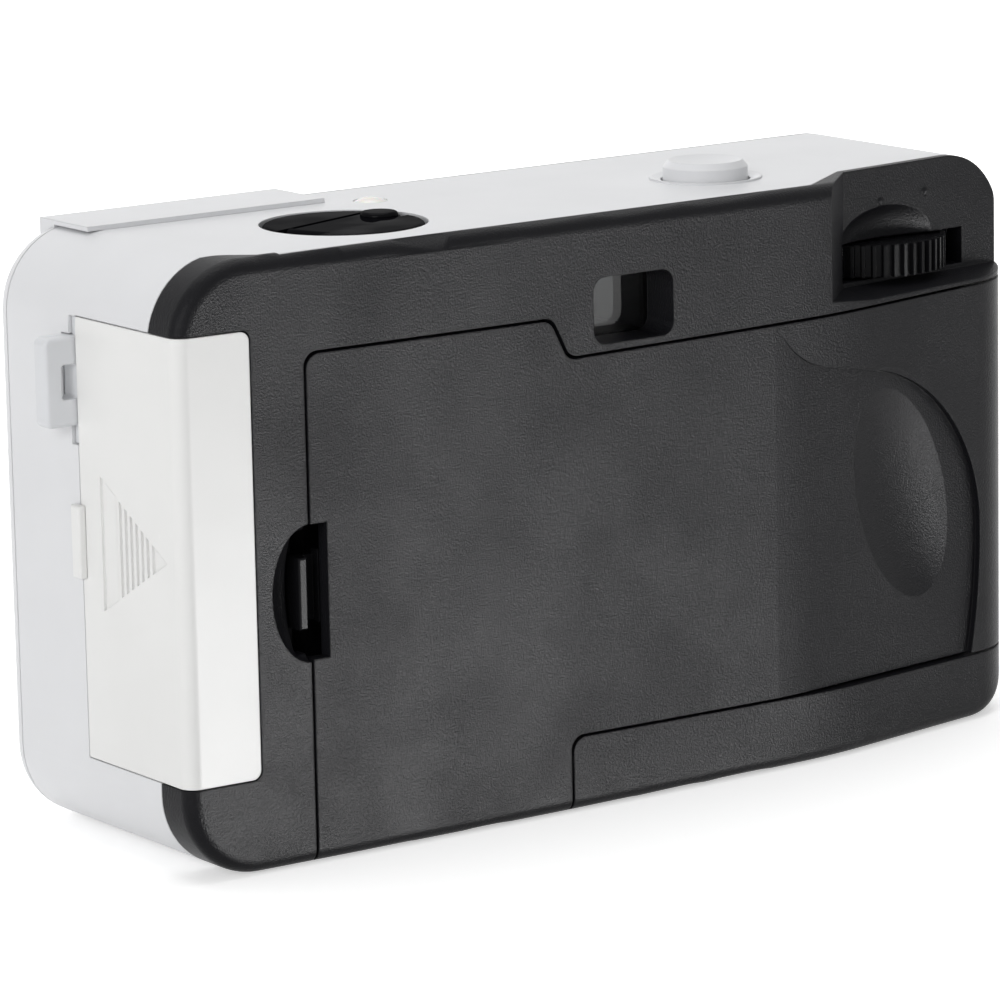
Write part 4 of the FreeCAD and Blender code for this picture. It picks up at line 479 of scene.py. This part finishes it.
class FILMCAMERA_OT_metal_parts(bpy.types.Operator):
    """Finish the pins, springs, screws and contacts"""
    bl_idname = "filmcamera.metal_parts"
    bl_label = "Metal parts"

    def execute(self, context):
        for name, colour, rough, nodes in (
            ("plain_steel", (0.55, 0.55, 0.56), 0.30,
             ("hinge_pin", "blade_pivot", "rewind_clip", "crank_pin", "case_screws")),
            ("spring_steel", (0.42, 0.43, 0.46), 0.26, ("button_spring", "pressure_spring")),
            ("nickel_strip", (0.72, 0.69, 0.62), 0.22, ("battery_contact_plate", "battery_contact_spring")),
        ):
            metal = Finish(name, colour, rough, 1.0)
            lines = metal.group(brushed_lines_group(), Spacing=0.00012)
            marks = metal.group(handling_marks_group(), Smear=1.0, Speck=1.0)
            metal.tint(marks.outputs["Smears"], [value * METAL_TARNISH for value in colour], TINT_STRENGTH)
            metal.roughen(lines.outputs["Lines"], rough - METAL_SMOOTHER, rough + METAL_ROUGHER)
            metal.relief(lines.outputs["Lines"], 0.000004)
            dress(metal.material, *nodes)
        return {"FINISHED"}


class FILMCAMERA_OT_flash_works(bpy.types.Operator):
    """Finish the flash board and its components"""
    bl_idname = "filmcamera.flash_works"
    bl_label = "Flash works"

    def execute(self, context):
        look = context.scene.film_camera_works
        board = Finish("flash_board_green", look.board, 0.32)
        tree = board.tree
        tracks = tree.nodes.new("ShaderNodeTexBrick")
        tracks.offset = 0.37
        tracks.inputs["Scale"].default_value = 330.0
        tracks.inputs["Mortar Size"].default_value = 0.06
        black, white = (0.0, 0.0, 0.0, 1.0), (1.0, 1.0, 1.0, 1.0)
        for label, value in (("Color1", black), ("Color2", black), ("Mortar", white)):
            tracks.inputs[label].default_value = value
        turn = tree.nodes.new("ShaderNodeMapping")
        turn.inputs["Rotation"].default_value = (math.radians(90.0), 0.0, 0.0)
        place = tree.nodes.new("ShaderNodeTexCoord").outputs["Object"]
        tree.links.new(place, turn.inputs["Vector"])
        tree.links.new(turn.outputs["Vector"], tracks.inputs["Vector"])
        board.tint(tracks.outputs["Color"], look.copper)
        board.relief(tracks.outputs["Color"], 0.00003)
        dress(board.material, "flash_board")
        sleeve = moulded("capacitor_sleeve", (0.02, 0.02, 0.035), 0.24, (0.0005, 0.000002),
                         spread=0.06, corner=0.0)
        dress(sleeve.material, "flash_capacitor")
        ferrite = moulded("transformer_ferrite", (0.10, 0.08, 0.07), 0.55, (0.0002, 0.00001),
                          spread=0.1, corner=0.0)
        dress(ferrite.material, "flash_transformer")
        return {"FINISHED"}


class FILMCAMERA_OT_counter(bpy.types.Operator):
    """Finish the counter dial and print its plain frame numbers"""
    bl_idname = "filmcamera.counter"
    bl_label = "Frame counter"

    def execute(self, context):
        look = context.scene.film_camera_works
        paper = moulded("counter_white", (0.80, 0.80, 0.78), 0.5, (0.0002, 0.000002), spread=0.05, corner=0.0)
        dress(paper.material, "counter_dial")
        ink = moulded("counter_ink", (0.03, 0.03, 0.035), 0.4, (0.0002, 0.000001), spread=0.05, corner=0.0)
        low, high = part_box("counter_dial")
        centre = Vector(((low[0] + high[0]) / 2, (low[1] + high[1]) / 2, low[2] - INK_GAP))
        radius = (high[0] - low[0]) / 2 * NUMBER_RING
        quarter, half = math.radians(90.0), math.radians(180.0)
        for number in range(0, COUNTER_FRAMES, look.number_step):
            text = bpy.data.curves.new(f"counter_number_{number:02d}", "FONT")
            text.body = str(number)
            text.size = look.number_height
            text.extrude = INK_THICKNESS
            text.align_x, text.align_y = "CENTER", "CENTER"
            item = bpy.data.objects.new(text.name, text)
            context.scene.collection.objects.link(item)
            turn = math.radians(-90.0 + number * 360.0 / COUNTER_FRAMES)
            spot = Vector((math.cos(turn), math.sin(turn), 0.0)) * radius
            item.matrix_world = (Matrix.Translation(centre + spot) @ Matrix.Rotation(turn + quarter, 4, "Z")
                                 @ Matrix.Rotation(half, 4, "Y"))
            text.materials.append(ink.material)
            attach(item, "counter")
        return {"FINISHED"}


class FILMCAMERA_OT_studio(bpy.types.Operator):
    """Build the pale floor, the soft lights, the surroundings and the viewpoint"""
    bl_idname = "filmcamera.studio"
    bl_label = "Studio"

    def execute(self, context):
        look = context.scene.film_camera_studio
        self.floor(context, look)
        self.surroundings(context, look)
        lamps = {name: self.lamp(context, name, getattr(look, power), place, size)
                 for name, power, place, size in LAMPS}
        lamps["front_light"].visible_glossy = False
        self.keep_sheen_to_back(lamps["sheen_light"])
        self.viewpoint(context)
        context.scene.view_settings.view_transform = "Standard"
        return {"FINISHED"}

    def lamp(self, context, name, power, place, size):
        light = bpy.data.lights.new(name, "AREA")
        light.energy = power
        light.shape = "RECTANGLE" if len(size) > 1 else "DISK"
        light.size, light.size_y = size[0], size[-1]
        item = bpy.data.objects.new(name, light)
        item.location = place
        item.rotation_euler = (LAMP_AIM - Vector(place)).to_track_quat("-Z", "Y").to_euler()
        context.scene.collection.objects.link(item)
        return item

    def keep_sheen_to_back(self, lamp):
        """The lamp gives only gloss, only to the back's pieces, and the floor above it doesn't block it."""
        lamp.visible_diffuse = False
        lamp.visible_camera = False
        lit = bpy.data.collections.new("lit_by_sheen")
        for name in (*nodes_in("black_grain"), "thumb_wheel", "door_latch", "battery_door"):
            lit.objects.link(NODES[name])
        lamp.light_linking.receiver_collection = lit
        lamp.light_linking.blocker_collection = lit

    def floor(self, context, look):
        mesh = bpy.data.meshes.new("floor")
        signs = ((-1, -1), (1, -1), (1, 1), (-1, 1))
        mesh.from_pydata([(x * FLOOR_REACH, y * FLOOR_REACH, FLOOR_LEVEL) for x, y in signs], [], [(0, 1, 2, 3)])
        item = bpy.data.objects.new("floor", mesh)
        context.scene.collection.objects.link(item)
        paper = Finish("floor_paper", look.floor, 0.9)
        mottle = paper.group(moulded_grain_group(), Size=0.02)
        paper.tint(mottle.outputs["Patches"], [value * 0.985 for value in look.floor])
        place = paper.tree.nodes.new("ShaderNodeTexCoord").outputs["Object"]
        length = paper.tree.nodes.new("ShaderNodeVectorMath")
        length.operation = "LENGTH"
        paper.tree.links.new(place, length.inputs[0])
        spread = range_node(paper.tree, length.outputs["Value"], (LIFT_START, LIFT_END), (look.glow, 1.0))
        lift = math_node(paper.tree, "MULTIPLY", seen_directly(paper.tree), spread)
        paper.tree.links.new(lift, paper.shader.inputs["Emission Color"])
        paper.shader.inputs["Emission Strength"].default_value = 1.0
        underside = paper.tree.nodes.new("ShaderNodeNewGeometry").outputs["Backfacing"]
        paper.tree.links.new(math_node(paper.tree, "SUBTRACT", 1.0, underside), paper.shader.inputs["Alpha"])
        item.data.materials.append(paper.material)

    def surroundings(self, context, look):
        world = context.scene.world or bpy.data.worlds.new("surroundings")
        context.scene.world = world
        world.use_nodes = True
        tree = world.node_tree
        sky = tree.nodes["Background"]
        sky.inputs["Color"].default_value = (1.0, 1.0, 1.0, 1.0)
        strength = range_node(tree, seen_directly(tree), (0.0, 1.0), (look.ambient, 1.0))
        tree.links.new(strength, sky.inputs["Strength"])

    def viewpoint(self, context):
        lens = bpy.data.cameras.new("viewpoint")
        lens.sensor_width = VIEW_SENSOR
        lens.lens = VIEW_LENS
        lens.clip_end = VIEW_REACH
        item = bpy.data.objects.new("viewpoint", lens)
        right, up = Vector(VIEW_RIGHT), Vector(VIEW_UP)
        turn = Matrix((right, up, right.cross(up).normalized())).transposed().to_4x4()
        item.matrix_world = Matrix.Translation(VIEW_PLACE) @ turn
        context.scene.collection.objects.link(item)
        context.scene.camera = item


class FILMCAMERA_PT_sidebar(bpy.types.Panel):
    """Lists the finishing steps of the film camera"""
    bl_idname = "FILMCAMERA_PT_sidebar"
    bl_label = "Film Camera"
    bl_space_type = "VIEW_3D"
    bl_region_type = "UI"
    bl_category = "Film Camera"

    def draw(self, context):
        for step in STEPS:
            self.layout.operator(step.bl_idname)
        for label in SETTINGS:
            column = self.layout.column(align=True)
            group = getattr(context.scene, label)
            for name in group.bl_rna.properties.keys():
                if name not in {"rna_type", "name"}:
                    column.prop(group, name)


SETTINGS = {
    "film_camera_white": WhiteShellSettings,
    "film_camera_black": BlackBackSettings,
    "film_camera_works": WorksSettings,
    "film_camera_studio": StudioSettings,
}
STEPS = (
    FILMCAMERA_OT_white_shells,
    FILMCAMERA_OT_film_works,
    FILMCAMERA_OT_black_back,
    FILMCAMERA_OT_gloss_controls,
    FILMCAMERA_OT_optics,
    FILMCAMERA_OT_metal_parts,
    FILMCAMERA_OT_flash_works,
    FILMCAMERA_OT_counter,
    FILMCAMERA_OT_studio,
)
CLASSES = (*SETTINGS.values(), *STEPS, FILMCAMERA_PT_sidebar)


def register():
    for item in CLASSES:
        bpy.utils.register_class(item)
    for label, settings in SETTINGS.items():
        setattr(bpy.types.Scene, label, PointerProperty(type=settings))


def unregister():
    for label in SETTINGS:
        delattr(bpy.types.Scene, label)
    for item in reversed(CLASSES):
        bpy.utils.unregister_class(item)


def main():
    register()
    for step in STEPS:
        family, name = step.bl_idname.split(".")
        getattr(getattr(bpy.ops, family), name)()


if __name__ == "__main__":
    main()
